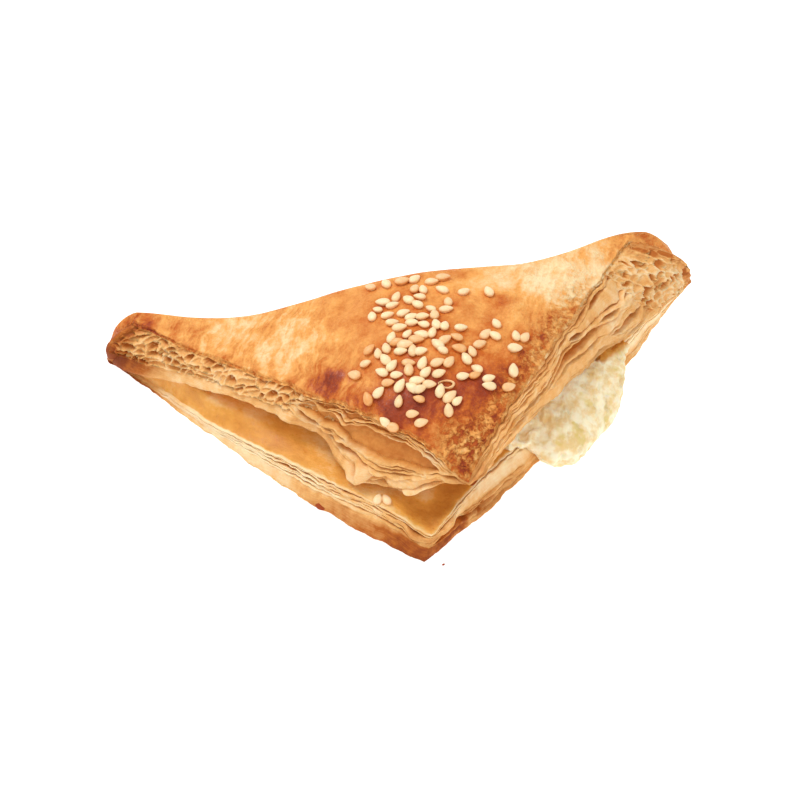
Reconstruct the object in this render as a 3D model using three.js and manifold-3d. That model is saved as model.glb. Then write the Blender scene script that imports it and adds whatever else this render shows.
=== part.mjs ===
// Sesame turnover: a square of puff dough folded corner to corner into a right-angled
// triangle. The two flaps have puffed apart along both legs, so that their cut edges show
// the leaves of the dough, sesame seeds are baked onto the top, and the pale filling
// comes out of the mouth on the right.
//
// Frame: millimetres, +Z up. The fold runs along X at the back (+Y), the right-angled
// corner points forward (-Y), and the origin is under the middle of the bounding box.
//
// Every solid is lofted over the same stations. A station s runs along the two legs,
// 0 at the left tip, 0.5 at the corner and 1 at the right tip, and its section reaches
// from the fold at the back to the cut edges at the front.

import * as THREE from 'three';
import Module from 'manifold-3d';

// ---------------------------------------------------------------- driving dimensions

const ORIGIN = [1.4, -31.56];          // plan point that becomes the part's origin

const LOWER_FLAP = { left: [-65, -1], corner: [-3.3, -69.8], right: [68, 0], bulge: [3, 2.4] };
const LOWER_RIM = { left: [-64.2, -1], corner: [-1, -65.4], right: [68, -0.4], bulge: [3, -0.5] };
const UPPER_FLAP = { left: [-66, -1.6], corner: [7.8, -59.6], right: [69.5, -1], bulge: [1.5, -2.2] };
const UPPER_RIM = { left: [-59.5, -0.6], corner: [7.5, -59], right: [54.8, 4], bulge: [0, 1.8] };

const BULGE_SKEW = 1.4;                 // the legs swell most on the corner's side of their middle

const FOLD = { topLeft: -57.5, topRight: 56.5, baseLeft: -65, baseRight: 66.5, turn: 3.2 };
const FOLD_ROUND = { tip: 1.5, middle: 4.5, reach: 0.2 };
const TIP_ROUND = { left: [-2.4, 1.2], right: [3.2, 2.2], reach: 0.1 };   // X and Z swell
const RIDGE = { low: 13, rise: 9, riseFrom: -52, riseTo: 8, drop: 3, dropFrom: 40, dropTo: 62 };
const DOME = { x: 4, y: -27, rx: 34, ry: 22, height: 4.5 };
const CORNER_DROOP = { height: 4, radius: 11 };
const RIM_DROOP = { left: 3.2, right: 2, reach: 5 };
const TIP_LIFT = { left: 0.3, right: 5, reach: 0.3 };

const LOWER_SHEET = { tip: 2.5, middle: 6, cornerExtra: 1 };  // height of the lower flap
const LOWER_EDGE = { tipLeft: 0.8, tipRight: 2.5, middle: 6, cornerDip: 3.6 };  // of its rim
const MOUTH = { tip: 0.8, middle: 3.8, cornerExtra: 2, pinch: 2.4 };  // gap of the two flaps
const SAG = { depth: 2.2, reach: 5, from: 0.3, full: 0.36, back: 0.43, to: 0.49 };
const POCKET = { tip: 0.9, middle: 11, dip: 0.8, cornerDip: 1.6 };    // its inner height

const LEAF = { upper: 1, lower: 0.7, waves: 0.5 };            // relief of the cut faces
const FACE_BULGE = { upper: 1.5, lower: 0.6 };
const BLISTER = 0.35;                                         // relief of the top skin
const HOLLOWS = [                                             // where leaves have parted
  { s: 0.31, v: 0.6, length: 0.035, width: 0.2, depth: 3 },
  { s: 0.4, v: 0.58, length: 0.04, width: 0.22, depth: 3.4 },
  { s: 0.62, v: 0.35, length: 0.06, width: 0.16, depth: 1.6 },
  { s: 0.78, v: 0.4, length: 0.05, width: 0.14, depth: 2 },
  { s: 0.86, v: 0.75, length: 0.04, width: 0.16, depth: 2 },
];

const FILLING = {
  from: 0.26, to: 0.855,        // stations that the filling reaches
  clearance: 0.95,              // to the dough above and below it
  standOff: 1.45,               // to the cut face of the lower flap
  setBack: 0.42, back: 0.86,    // shares of the pocket's depth that it lies between
  emerges: 0.58, inFront: 0.66, // stations between which it comes out to the rim
  spillMiddle: 0.753, spillHalf: 0.08, spillReach: 7.3,
  lump: 0.7,
};

const SEED = { length: 3.2, width: 2, height: 1.1, sunk: 0.28, onLedge: 6 };
// Each seed: X and Y of its middle, and the heading of its point in degrees.
const TOP_SEEDS = [
  [-6.4, -7.5, 128], [-2.8, -7.5, 103], [0.8, -7.8, 7], [3.6, -7.4, 40], [7.2, -9.4, 342],
  [9.9, -8.5, 356], [9.0, -12.8, 140], [13.7, -14.3, 31], [19.2, -14.8, 100], [3.1, -11.5, 65],
  [4.8, -12.3, 91], [3.6, -15.1, 149], [-1.2, -12.9, 61], [-4.5, -13.9, 156], [-2.5, -15.8, 11],
  [1.1, -15.4, 117], [2.7, -17.6, 127], [-0.6, -19.5, 12], [-5.9, -16.3, 134], [-7.3, -18.1, 89],
  [-4.1, -19.4, 16], [5.4, -19.5, 128], [5.9, -22.0, 81], [9.7, -17.6, 87], [8.8, -20.3, 0],
  [0.9, -21.2, 10], [3.3, -21.9, 341], [-3.5, -22.2, 8], [-2.2, -24.1, 1], [0.8, -23.0, 337],
  [3.2, -24.5, 146], [5.8, -25.3, 95], [7.5, -26.1, 72], [11.0, -26.6, 8], [-0.7, -26.6, 48],
  [2.2, -27.4, 153], [4.7, -27.4, 65], [0.9, -28.8, 349], [9.6, -29.7, 150], [-4.2, -26.6, 65],
  [-5.8, -29.2, 90], [-3.4, -28.1, 1], [-1.6, -29.4, 351], [-2.8, -30.8, 352], [5.2, -31.1, 121],
  [7.0, -30.0, 25], [5.9, -32.8, 136], [9.7, -32.6, 157], [10.9, -35.3, 108], [14.4, -31.7, 24],
  [12.4, -33.7, 102], [16.2, -28.9, 42], [18.1, -29.7, 133], [19.0, -25.9, 100],
  [22.7, -29.6, 87], [24.7, -29.8, 50], [21.9, -33.3, 4], [-9.3, -28.6, 36], [-7.7, -30.3, 86],
  [-6.4, -32.4, 113], [-0.2, -31.4, 82], [1.4, -32.2, 354], [-10.5, -31.6, 359],
  [-5.2, -34.3, 45], [-1.6, -34.4, 346], [1.4, -35.3, 63], [4.5, -36.1, 12], [6.9, -36.2, 47],
  [-7.5, -35.1, 145], [-4.5, -36.8, 354], [-1.8, -36.2, 82], [1.7, -37.8, 44], [4.4, -38.7, 10],
  [12.8, -38.2, 134], [9.4, -39.8, 5], [12.1, -39.8, 14], [14.9, -41.0, 9], [14.7, -42.7, 164],
  [20.6, -38.8, 81], [18.9, -42.9, 15], [-13.3, -33.3, 141], [-6.5, -37.9, 355],
  [-0.5, -39.6, 354], [2.0, -40.8, 352], [-4.1, -39.5, 50], [-1.7, -41.0, 133],
  [-0.2, -41.6, 15], [-8.8, -39.4, 40], [-11.2, -40.0, 102], [-4.8, -42.9, 72],
  [-0.7, -43.7, 155], [4.1, -42.5, 72], [6.0, -44.3, 36], [7.4, -45.5, 34], [5.3, -47.1, 87],
  [-2.4, -46.3, 355], [-0.8, -48.5, 4], [-8.3, -45.9, 129], [-7.0, -47.3, 149],
];
const LEDGE_SEEDS = [[-11.4, -56.2, 69], [-9.6, -56.6, 103]];

const STEPS = {
  stations: 60, top: 10, upperFace: 8, inside: 7, lowerFace: 5, base: 5, fold: 6, filling: 7,
};

// ---------------------------------------------------------------- small mathematics

const clamp01 = (t) => Math.min(1, Math.max(0, t));
const mix = (a, b, t) => a + (b - a) * t;
const mixPoints = (a, b, t) => a.map((value, k) => mix(value, b[k], t));
const bell = (x, width) => Math.exp(-((x / width) ** 2));

function smooth(from, to, x) {
  const t = clamp01((x - from) / (to - from));
  return t * t * (3 - 2 * t);
}

// ---------------------------------------------------------------- outlines

// Leg of a flap from one tip to the corner, with its outward direction in plan.
function leg(flap, s) {
  const onLeft = s <= 0.5;
  const tip = onLeft ? flap.left : flap.right;
  const t = onLeft ? s * 2 : (1 - s) * 2;
  const along = [flap.corner[0] - tip[0], flap.corner[1] - tip[1]];
  const length = Math.hypot(along[0], along[1]);
  const side = onLeft ? 1 : -1;
  const out = [(side * along[1]) / length, (-side * along[0]) / length];
  return { tip, t, out, bulge: flap.bulge[onLeft ? 0 : 1] };
}

function outline(flap, s) {
  const { tip, t, out, bulge } = leg(flap, s);
  const point = mixPoints(tip, flap.corner, t);
  const swell = bulge * Math.sin(Math.PI * t ** BULGE_SKEW);
  return [point[0] + out[0] * swell, point[1] + out[1] * swell];
}

// Outward direction of the cut faces, turned smoothly round the corner.
function outward(s) {
  const turn = smooth(0.47, 0.53, s);
  const [x, y] = mixPoints(leg(UPPER_FLAP, 0.25).out, leg(UPPER_FLAP, 0.75).out, turn);
  const length = Math.hypot(x, y);
  return [x / length, y / length];
}

// How far a plan point lies inside the straight upper rim on the left or on the right.
function insideRim(s, x, y) {
  const { tip, out } = leg(UPPER_RIM, s);
  return (tip[0] - x) * out[0] + (tip[1] - y) * out[1];
}

// ---------------------------------------------------------------- heights

function ridgeHeight(x) {
  const rise = RIDGE.rise * smooth(RIDGE.riseFrom, RIDGE.riseTo, x);
  return RIDGE.low + rise - RIDGE.drop * smooth(RIDGE.dropFrom, RIDGE.dropTo, x);
}

function topHeight(x, y) {
  const dome = DOME.height * bell(x - DOME.x, DOME.rx) * bell(y - DOME.y, DOME.ry);
  const [cornerX, cornerY] = UPPER_FLAP.corner;
  const corner = CORNER_DROOP.height * bell(Math.hypot(x - cornerX, y - cornerY), CORNER_DROOP.radius);
  const nearLeft = Math.exp(-Math.max(insideRim(0.25, x, y) + 1, 0) / RIM_DROOP.reach);
  const nearRight = Math.exp(-Math.max(insideRim(0.75, x, y) + 4, 0) / RIM_DROOP.reach);
  const droop = RIM_DROOP.left * nearLeft * smooth(-45, -15, x) + RIM_DROOP.right * nearRight;
  return ridgeHeight(x) + dome - corner - droop;
}

function blister(x, y) {
  const wrinkle = Math.sin(x * 0.55 + 1.3 * Math.sin(y * 0.21)) * Math.sin(y * 0.33 + x * 0.12);
  return BLISTER * wrinkle;
}

// 0 at the tips, 1 where the flaps have their full height.
const fullness = (s, reach) => smooth(0, reach, Math.min(s, 1 - s));
const nearCorner = (s) => smooth(0.36, 0.5, s) * (1 - smooth(0.5, 0.58, s));
const sag = (s) => smooth(SAG.from, SAG.full, s) * (1 - smooth(SAG.back, SAG.to, s));

function baseLift(s) {
  const reach = TIP_LIFT.reach / 2;
  return TIP_LIFT.left * (1 - smooth(0, reach, s)) + TIP_LIFT.right * (1 - smooth(0, reach, 1 - s));
}

// Height of the lower flap away from its edge, of its rim, and of the lip above it.
function flapHeight(s) {
  const height = mix(LOWER_SHEET.tip, LOWER_SHEET.middle, fullness(s, 0.125));
  return baseLift(s) + height + LOWER_SHEET.cornerExtra * nearCorner(s);
}

function lowerRimHeight(s) {
  const left = mix(LOWER_EDGE.tipLeft, LOWER_EDGE.middle, smooth(0.1, 0.36, s));
  const right = mix(LOWER_EDGE.tipRight, LOWER_EDGE.middle, smooth(0, 0.125, 1 - s));
  const height = (s < 0.5 ? left : right) - LOWER_EDGE.cornerDip * bell(s - 0.5, 0.04);
  return baseLift(s) + height + LOWER_SHEET.cornerExtra * nearCorner(s);
}

function lipHeight(s) {
  const open = mix(MOUTH.tip, MOUTH.middle, smooth(0.06, 0.2, s) * (1 - smooth(0.8, 0.94, s)));
  const gap = open - SAG.depth * sag(s) + MOUTH.cornerExtra * bell(s - 0.5, 0.03);
  return flapHeight(s) + gap - MOUTH.pinch * (1 - smooth(0.08, 0.24, s));
}

const mouthGap = (s) => lipHeight(s) - lowerRimHeight(s);

// ---------------------------------------------------------------- rails and sections

// The lines that run from tip to tip along the cut edges.
function rails(s) {
  const out = outward(s);
  const base = [...outline(LOWER_FLAP, s), baseLift(s)];
  const ledge = [...outline(LOWER_RIM, s), lowerRimHeight(s)];
  const rimPlan = outline(UPPER_RIM, s);
  const rim = [...rimPlan, topHeight(...rimPlan) - 0.8];
  const hang = SAG.reach * sag(s);
  const [lipX, lipY] = outline(UPPER_FLAP, s);
  const lip = [lipX + out[0] * hang, lipY + out[1] * hang, lipHeight(s)];
  return { base, ledge, lip, rim, out };
}

// The fold is pinched forward in the middle, and its right end turns back.
function foldBase(s) {
  const across = mix(FOLD.topLeft, FOLD.topRight, s);
  const released = smooth(-20, 20, across) + 8.5 * smooth(25, 58, across);
  const pinch = 8.5 * smooth(-62, -30, across) - released;
  return [mix(FOLD.baseLeft, FOLD.baseRight, s), 2 - pinch];
}

function foldTop(s) {
  const turn = FOLD.turn * smooth(0.85, 1, s);
  return [mix(FOLD.topLeft, FOLD.topRight, s), foldBase(s)[1] + turn];
}

// Swell of the blunt tips, in X and Z, for a point halfway down their ends.
function tipSwell(s) {
  const left = 1 - smooth(0, TIP_ROUND.reach, s);
  const right = 1 - smooth(0, TIP_ROUND.reach, 1 - s);
  return TIP_ROUND.left.map((swell, k) => swell * left + TIP_ROUND.right[k] * right);
}

// Back of the pocket: deep in the middle, only a groove at the tips.
function pocketBack(s, lip) {
  const depth = mix(0.45, 0.8, smooth(0.04, 0.32, Math.min(s, 1 - s)));
  return mixPoints([lip[0], lip[1]], foldTop(s), depth);
}

// Height of the pocket at a share u of the way from the mouth to its back.
function pocketGap(s, u) {
  const swell = smooth(0.12, 0.45, s) * (1 - smooth(0.6, 0.88, s));
  const inner = mix(POCKET.tip, POCKET.middle, swell);
  const open = mix(mouthGap(s), inner, smooth(0, 0.4, u));
  return open * Math.sqrt(1 - u ** 4);
}

function pocketFloor(s, u) {
  const inner = flapHeight(s) - POCKET.cornerDip * bell(s - 0.5, 0.06);
  const floor = mix(lowerRimHeight(s), inner, smooth(0, 0.3, u));
  return floor - POCKET.dip * Math.sin(Math.PI * u) * fullness(s, 0.2);
}

// Relief of a cut face: leaf edges stand out between grooves, and wander along the leg.
function leafRelief(s, v, leaves, depth) {
  const wave = 0.9 * Math.sin(23 * s + 5 * v) + 0.5 * Math.sin(61 * s + 2);
  const ridge = Math.cos(2 * Math.PI * leaves * v + Math.PI + wave * LEAF.waves);
  return depth * ridge * (0.7 + 0.3 * Math.sin(37 * s + 9 * v));
}

function hollow(s, v) {
  return HOLLOWS.reduce((sum, dent) => {
    const share = bell(s - dent.s, dent.length) * bell(v - dent.v, dent.width);
    return sum + dent.depth * share;
  }, 0);
}

// Points down a cut face, from its upper line to its lower one.
function cutFace(s, from, to, out, steps, relief, swell = [0, 0]) {
  const points = [];
  for (let i = 0; i <= steps; i += 1) {
    const v = i / steps;
    const push = i === 0 || i === steps ? 0 : relief(s, v);
    const round = Math.sin(Math.PI * v);
    const [x, y, z] = mixPoints(from, to, v);
    points.push([x + out[0] * push + swell[0] * round, y + out[1] * push, z + swell[1] * round]);
  }
  return points;
}

function upperRelief(s, v) {
  const swell = FACE_BULGE.upper * Math.sin(Math.PI * v);
  return swell + leafRelief(s, v, 4, LEAF.upper) - hollow(s, v);
}

function lowerRelief(s, v) {
  return FACE_BULGE.lower * Math.sin(Math.PI * v) + leafRelief(s, v, 2.5, LEAF.lower);
}

// One closed section of the dough, from the fold over the top, into the pocket and back.
function doughSection(s) {
  const { base, ledge, lip, rim, out } = rails(s);
  const top = foldTop(s);
  const back = foldBase(s);
  const deep = pocketBack(s, lip);
  const ring = [];
  for (let i = 0; i < STEPS.top; i += 1) {
    const t = 1 - (1 - i / STEPS.top) ** 1.25;
    const [x, y] = mixPoints(top, rim, t);
    ring.push([x, y, topHeight(x, y) + (i === 0 ? 0 : blister(x, y))]);
  }
  const swell = tipSwell(s);
  ring.push(...cutFace(s, rim, lip, out, STEPS.upperFace, upperRelief, swell));
  for (let i = 1; i < STEPS.inside; i += 1) {
    const u = i / STEPS.inside;
    const [x, y] = mixPoints(lip, deep, u);
    ring.push([x, y, pocketFloor(s, u) + pocketGap(s, u)]);
  }
  for (let i = STEPS.inside; i > 0; i -= 1) {
    const u = i / STEPS.inside;
    const [x, y] = mixPoints(ledge, deep, u);
    ring.push([x, y, pocketFloor(s, u)]);
  }
  ring.push(...cutFace(s, ledge, base, out, STEPS.lowerFace, lowerRelief));
  const heel = [...back, base[2]];
  for (let i = 1; i < STEPS.base; i += 1) ring.push(mixPoints(base, heel, i / STEPS.base));
  const crest = topHeight(...top);
  const depth = mix(FOLD_ROUND.tip, FOLD_ROUND.middle, fullness(s, FOLD_ROUND.reach));
  for (let i = 0; i < STEPS.fold; i += 1) {
    const angle = (Math.PI * i) / STEPS.fold;
    const rise = (1 - Math.cos(angle)) / 2;
    const round = Math.sin(angle);
    const [x, y] = mixPoints(back, top, rise);
    const height = mix(base[2], crest, rise);
    ring.push([x + swell[0] * round, y + depth * round, height + swell[1] * round]);
  }
  return ring;
}

// ---------------------------------------------------------------- solids

// Joins closed rings of equal length into one closed body, with a flat cut at each end.
function loft(rings) {
  const size = rings[0].length;
  const triangles = [];
  for (let k = 0; k + 1 < rings.length; k += 1) {
    for (let i = 0; i < size; i += 1) {
      const next = (i + 1) % size;
      const [here, after] = [k * size, (k + 1) * size];
      triangles.push([here + i, here + next, after + i], [here + next, after + next, after + i]);
    }
  }
  triangles.push(...endCap(rings[0], 0).map(([a, b, c]) => [a, c, b]));
  triangles.push(...endCap(rings.at(-1), (rings.length - 1) * size));
  return facingOut(rings.flat(), triangles);
}

// The rings at the two ends face along X, so they are triangulated as seen along it, with
// the triangles running the same way round as the ring.
function endCap(ring, first) {
  const contour = ring.map(([, y, z]) => new THREE.Vector2(y, z));
  const ringTurn = Math.sign(THREE.ShapeUtils.area(contour));
  return THREE.ShapeUtils.triangulateShape(contour, []).map(([a, b, c]) => {
    const turn = Math.sign(THREE.ShapeUtils.area([contour[a], contour[b], contour[c]]));
    return (turn === ringTurn ? [a, b, c] : [a, c, b]).map((index) => first + index);
  });
}

function signedVolume(points, triangles) {
  const corners = (triangle) => triangle.map((index) => new THREE.Vector3(...points[index]));
  return triangles.reduce((sum, triangle) => {
    const [a, b, c] = corners(triangle);
    return sum + a.dot(b.cross(c)) / 6;
  }, 0);
}

function facingOut(points, triangles) {
  const outside = signedVolume(points, triangles) > 0;
  return { points, triangles: outside ? triangles : triangles.map(([a, b, c]) => [a, c, b]) };
}

function dough() {
  const rings = [];
  for (let k = 0; k <= STEPS.stations; k += 1) rings.push(doughSection(k / STEPS.stations));
  return loft(rings);
}

// 0 where the filling stays deep in the mouth, 1 where it has come out to the rim.
function atRim(s) {
  return smooth(FILLING.emerges, FILLING.inFront, s) * (1 - 0.5 * smooth(0.85, 0.9, s));
}

// 0 where the filling stays in the mouth, 1 where it hangs over the lower flap.
function spill(s) {
  const share = Math.abs((s - FILLING.spillMiddle) / FILLING.spillHalf);
  return share < 1 ? Math.sqrt(1 - share ** 4) : 0;
}

function lumps(x, y, z) {
  return FILLING.lump * Math.sin(x * 0.9 + z * 0.7) * Math.sin(y * 0.8 - z * 0.5 + 1);
}

// Front of the filling at one station, from the floor of the mouth up to its roof: a low
// nose where it stays in the mouth, and a bulge down to the ground where it spills.
function fillingFront(s, floor, roof, anchors, out) {
  const emerged = atRim(s);
  const over = spill(s);
  const clear = mix(0.5, FILLING.standOff, emerged);
  const half = (floor + roof) / 2;
  const reach = FILLING.spillReach;
  const { mouthFloor, mouthRoof, base } = anchors;
  const underRim = mixPoints(mouthFloor, base, 0.5);
  const steps = [
    // [anchor, push, height] at rest in the mouth, and the same where it spills
    [mouthFloor, clear * 0.6, floor, mouthFloor, clear * 0.6, floor],
    [mouthFloor, clear, floor, underRim, clear, floor / 2],
    [mouthFloor, clear + 0.3, mix(floor, roof, 0.1), base, clear, 0],
    [mouthFloor, clear + 0.6, mix(floor, half, 0.5), base, reach * 0.94, 0],
    [mouthFloor, clear + 0.8, half, base, reach * 1.06, roof * 0.28],
    [mouthRoof, clear + 0.6, mix(half, roof, 0.5), base, reach, roof * 0.56],
    [mouthRoof, clear + 0.3, mix(floor, roof, 0.9), base, reach * 0.7, roof * 0.82],
    [mouthRoof, 0.2, roof, mouthRoof, reach * 0.3, roof * 0.97],
  ];
  return steps.map(([restAnchor, restPush, restHeight, anchor, push, height], k) => {
    const rest = [restAnchor[0] + out[0] * restPush, restAnchor[1] + out[1] * restPush, restHeight];
    const hung = [anchor[0] + out[0] * push, anchor[1] + out[1] * push, height];
    const [x, y, z] = mixPoints(rest, hung, over);
    const lump = k > 3 && k < 7 ? lumps(x, y, z) * over : 0;
    return [x + out[0] * lump, y + out[1] * lump, z];
  });
}

// One closed section of the filling. It keeps clear of the dough above and below it.
function fillingSection(s) {
  const { base, ledge, lip, out } = rails(s);
  const deep = pocketBack(s, lip);
  const front = FILLING.setBack * (1 - atRim(s)) + 0.01;
  const taper = clamp01((s - FILLING.from) / 0.08 + 0.2) * clamp01((FILLING.to - s) / 0.06 + 0.3);
  const middle = (u) => pocketFloor(s, u) + pocketGap(s, u) / 2;
  const half = (u) => Math.max(pocketGap(s, u) / 2 - FILLING.clearance, 0.12) * Math.sqrt(taper);
  const alongRoof = [];
  const alongFloor = [];
  for (let i = 0; i <= STEPS.filling; i += 1) {
    const u = mix(front, FILLING.back, i / STEPS.filling);
    alongRoof.push([...mixPoints(lip, deep, u).slice(0, 2), middle(u) + half(u)]);
    alongFloor.push([...mixPoints(ledge, deep, u).slice(0, 2), middle(u) - half(u)]);
  }
  const anchors = { mouthFloor: alongFloor[0], mouthRoof: alongRoof[0], base };
  const nose = fillingFront(s, alongFloor[0][2], alongRoof[0][2], anchors, out);
  return [...alongRoof, ...alongFloor.reverse(), ...nose];
}

function filling() {
  const rings = [];
  for (let k = 0; k <= STEPS.stations; k += 1) {
    const s = k / STEPS.stations;
    if (s >= FILLING.from && s <= FILLING.to) rings.push(fillingSection(s));
  }
  return loft(rings);
}

// A seed is a flat drop, pointed at one end, lying on its broad side.
function seedSolid() {
  const sides = 5;
  const rounds = [{ at: -0.2, wide: 1 }, { at: 0.22, wide: 0.74 }];
  const points = [[-SEED.length / 2, 0, 0]];
  for (const round of rounds) {
    for (let i = 0; i < sides; i += 1) {
      const angle = (2 * Math.PI * i) / sides + Math.PI / 2;
      const across = (round.wide * SEED.width * Math.cos(angle)) / 2;
      const up = (round.wide * SEED.height * Math.sin(angle)) / 2;
      points.push([round.at * SEED.length, across, up]);
    }
  }
  points.push([SEED.length / 2, 0, 0]);
  const end = points.length - 1;
  const triangles = [];
  for (let i = 0; i < sides; i += 1) {
    const next = (i + 1) % sides;
    const [near, nearNext, far, farNext] = [1 + i, 1 + next, 1 + sides + i, 1 + sides + next];
    triangles.push([0, near, nearNext], [near, far, nearNext]);
    triangles.push([nearNext, far, farNext], [end, farNext, far]);
  }
  return facingOut(points, triangles);
}

function layOn(seed, [x, y, heading], height) {
  const step = 0.8;
  const slopeX = (height(x + step, y) - height(x - step, y)) / (2 * step);
  const slopeY = (height(x, y + step) - height(x, y - step)) / (2 * step);
  const up = new THREE.Vector3(0, 0, 1);
  const normal = new THREE.Vector3(-slopeX, -slopeY, 1).normalize();
  const tilt = new THREE.Quaternion().setFromUnitVectors(up, normal);
  const spin = new THREE.Quaternion().setFromAxisAngle(up, (heading * Math.PI) / 180);
  const lift = SEED.height / 2 - SEED.sunk;
  const place = new THREE.Vector3(x, y, height(x, y)).addScaledVector(normal, lift);
  const move = new THREE.Matrix4().compose(place, tilt.multiply(spin), new THREE.Vector3(1, 1, 1));
  const points = seed.points.map((point) => new THREE.Vector3(...point).applyMatrix4(move).toArray());
  return { points, triangles: seed.triangles };
}

const skinHeight = (x, y) => topHeight(x, y) + blister(x, y);
const ledgeHeight = () => SEED.onLedge;

function seeds() {
  const seed = seedSolid();
  const onTop = TOP_SEEDS.map((place) => layOn(seed, place, skinHeight));
  const onLedge = LEDGE_SEEDS.map((place) => layOn(seed, place, ledgeHeight));
  return [...onTop, ...onLedge];
}

// ---------------------------------------------------------------- joining

const wasm = await Module();
wasm.setup();

function toManifold({ points, triangles }) {
  const vertProperties = new Float32Array(points.flat());
  const triVerts = new Uint32Array(triangles.flat());
  return new wasm.Manifold(new wasm.Mesh({ numProp: 3, vertProperties, triVerts }));
}

// Seeds that stand clear of the skin are left out, so that the dough stays one body.
function fuse(body, additions) {
  let joined = toManifold(body);
  for (const addition of additions) {
    const piece = toManifold(addition);
    if (joined.intersect(piece).volume() > 0.05) joined = joined.add(piece);
  }
  return joined;
}

function geometryOf(positions, indices) {
  const geometry = new THREE.BufferGeometry();
  geometry.setAttribute('position', new THREE.BufferAttribute(positions, 3));
  geometry.setIndex(new THREE.BufferAttribute(indices, 1));
  geometry.computeVertexNormals();
  return geometry;
}

function fromManifold(solid) {
  const mesh = solid.getMesh();
  return geometryOf(new Float32Array(mesh.vertProperties), new Uint32Array(mesh.triVerts));
}

function fromLoft({ points, triangles }) {
  return geometryOf(new Float32Array(points.flat()), new Uint32Array(triangles.flat()));
}

// ---------------------------------------------------------------- scene graph

const CRUST = new THREE.MeshStandardMaterial({ color: 0xe2a35f, roughness: 0.55, metalness: 0 });
const CREAM = new THREE.MeshStandardMaterial({ color: 0xf2dcae, roughness: 0.6, metalness: 0 });

function piece(name, geometry, material) {
  const mesh = new THREE.Mesh(geometry, material);
  mesh.name = name;
  return mesh;
}

const turnover = new THREE.Group();
turnover.position.set(-ORIGIN[0], -ORIGIN[1], 0);
turnover.add(
  piece('pastry', fromManifold(fuse(dough(), seeds())), CRUST),
  piece('filling', fromLoft(filling()), CREAM),
);

export default turnover;
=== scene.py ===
"""Looks of the sesame turnover, laid out as a Blender add-on.

One folded sheet of puff dough, its flaky cut edges, the filling that comes out of its
right side, the sesame seeds on its top and a few crumbs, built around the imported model.

Shapes are worked out in millimetres in the dough's own frame, in which the two tips lie
near Y = 0 and the corner points to -Y. A station s runs along the two legs: 0 at the left
tip, 0.5 at the corner, 1 at the right tip. `to_row` moves them to the row's frame.
"""

import math
from collections import namedtuple

import bmesh
import bpy
import numpy as np
from mathutils import Matrix, Vector


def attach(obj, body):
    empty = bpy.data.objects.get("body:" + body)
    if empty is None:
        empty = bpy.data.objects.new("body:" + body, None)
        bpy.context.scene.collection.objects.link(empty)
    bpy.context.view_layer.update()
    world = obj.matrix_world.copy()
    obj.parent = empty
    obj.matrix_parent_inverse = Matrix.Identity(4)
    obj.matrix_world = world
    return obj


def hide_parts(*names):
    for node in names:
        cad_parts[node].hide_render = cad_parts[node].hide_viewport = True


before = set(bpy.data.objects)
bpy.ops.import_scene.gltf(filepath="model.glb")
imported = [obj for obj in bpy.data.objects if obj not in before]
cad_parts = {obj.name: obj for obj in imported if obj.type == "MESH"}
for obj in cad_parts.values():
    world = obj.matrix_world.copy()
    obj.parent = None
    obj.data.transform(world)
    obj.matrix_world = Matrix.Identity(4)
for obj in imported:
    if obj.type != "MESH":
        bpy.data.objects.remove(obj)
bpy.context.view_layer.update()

bl_info = {
    "name": "Sesame Turnover",
    "version": (1, 0, 0),
    "blender": (4, 5, 0),
    "location": "3D View > Sidebar > Turnover",
    "description": "Builds a puff pastry turnover with flaky edges, filling and sesame seeds",
    "category": "Object",
}

MM = 0.001
BODY = "root"

# ---- sizes of the dough, mm

ORIGIN = np.array([1.4, -31.56, 0.0])

Flap = namedtuple("Flap", "left corner right bulge")
LOWER_FLAP = Flap((-65, -1), (-3.3, -69.8), (68, 0), (3, 2.4))
LOWER_RIM = Flap((-64.2, -1), (-1, -65.4), (68, -0.4), (3, -0.5))
UPPER_FLAP = Flap((-66, -1.6), (7.8, -59.6), (69.5, -1), (1.5, -2.2))
UPPER_RIM = Flap((-59.5, -0.6), (7.5, -59), (54.8, 4), (0, 1.8))
BULGE_SKEW = 1.4

FOLD_TOP_X = (-57.5, 56.5)
FOLD_BASE_X = (-65, 66.5)
FOLD_TURN = 3.2
FOLD_ROUND = (1.5, 4.5)         # how far it bulges back, at the tips and in the middle
TIP_SWELL_LEFT = (-2.4, 1.2)    # along X and Z
TIP_SWELL_RIGHT = (3.2, 2.2)
TIP_REACH = 0.1                 # a share of both legs

RIDGE_LOW, RIDGE_RISE, RIDGE_DROP = 13, 9, 3
DOME = dict(x=4, y=-27, rx=34, ry=22, height=4.5)
CORNER_DROOP = (4, 11)          # how much, and how far from the corner
RIM_DROOP = (3.2, 2, 5)         # on the left, on the right, and how far in
RIM_BELOW = 0.8                 # how much lower than the skin the rim lies
TIP_LIFT = (0.3, 5)             # on the left and on the right

LEG_LENGTH = 95                 # of each leg, along the cut faces
WAY = 2 * LEG_LENGTH            # along both of them, from tip to tip
FLAP_HEIGHT = (2.5, 6)          # of the lower flap, at the tips and elsewhere
POCKET_HEIGHT = (0.9, 11)       # at the tips and in the middle
SAG_REACH, SAG_DEPTH = 5, 2.2
BLISTER = 0.35

STATIONS = 560
TOP_STEPS, ROOF_STEPS, FLOOR_STEPS = 84, 9, 18
WALL_STEPS, BASE_STEPS, FOLD_STEPS = 8, 5, 14

# ---- small mathematics


def smooth(low, high, x):
    """Eases from 0 at low to 1 at high, whichever of the two is larger."""
    t = np.clip((x - low) / (high - low), 0, 1)
    return t * t * (3 - 2 * t)


def window(x, start, full, fading, end):
    """Eases from 0 at start to 1 at full, and from 1 at fading back to 0 at end."""
    return smooth(start, full, x) * smooth(end, fading, x)


def ramps(x, *rows):
    """The sum of eased steps, each given by its height, where it starts and where it is full."""
    return sum(height * smooth(start, full, x) for height, start, full in rows)


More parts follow.
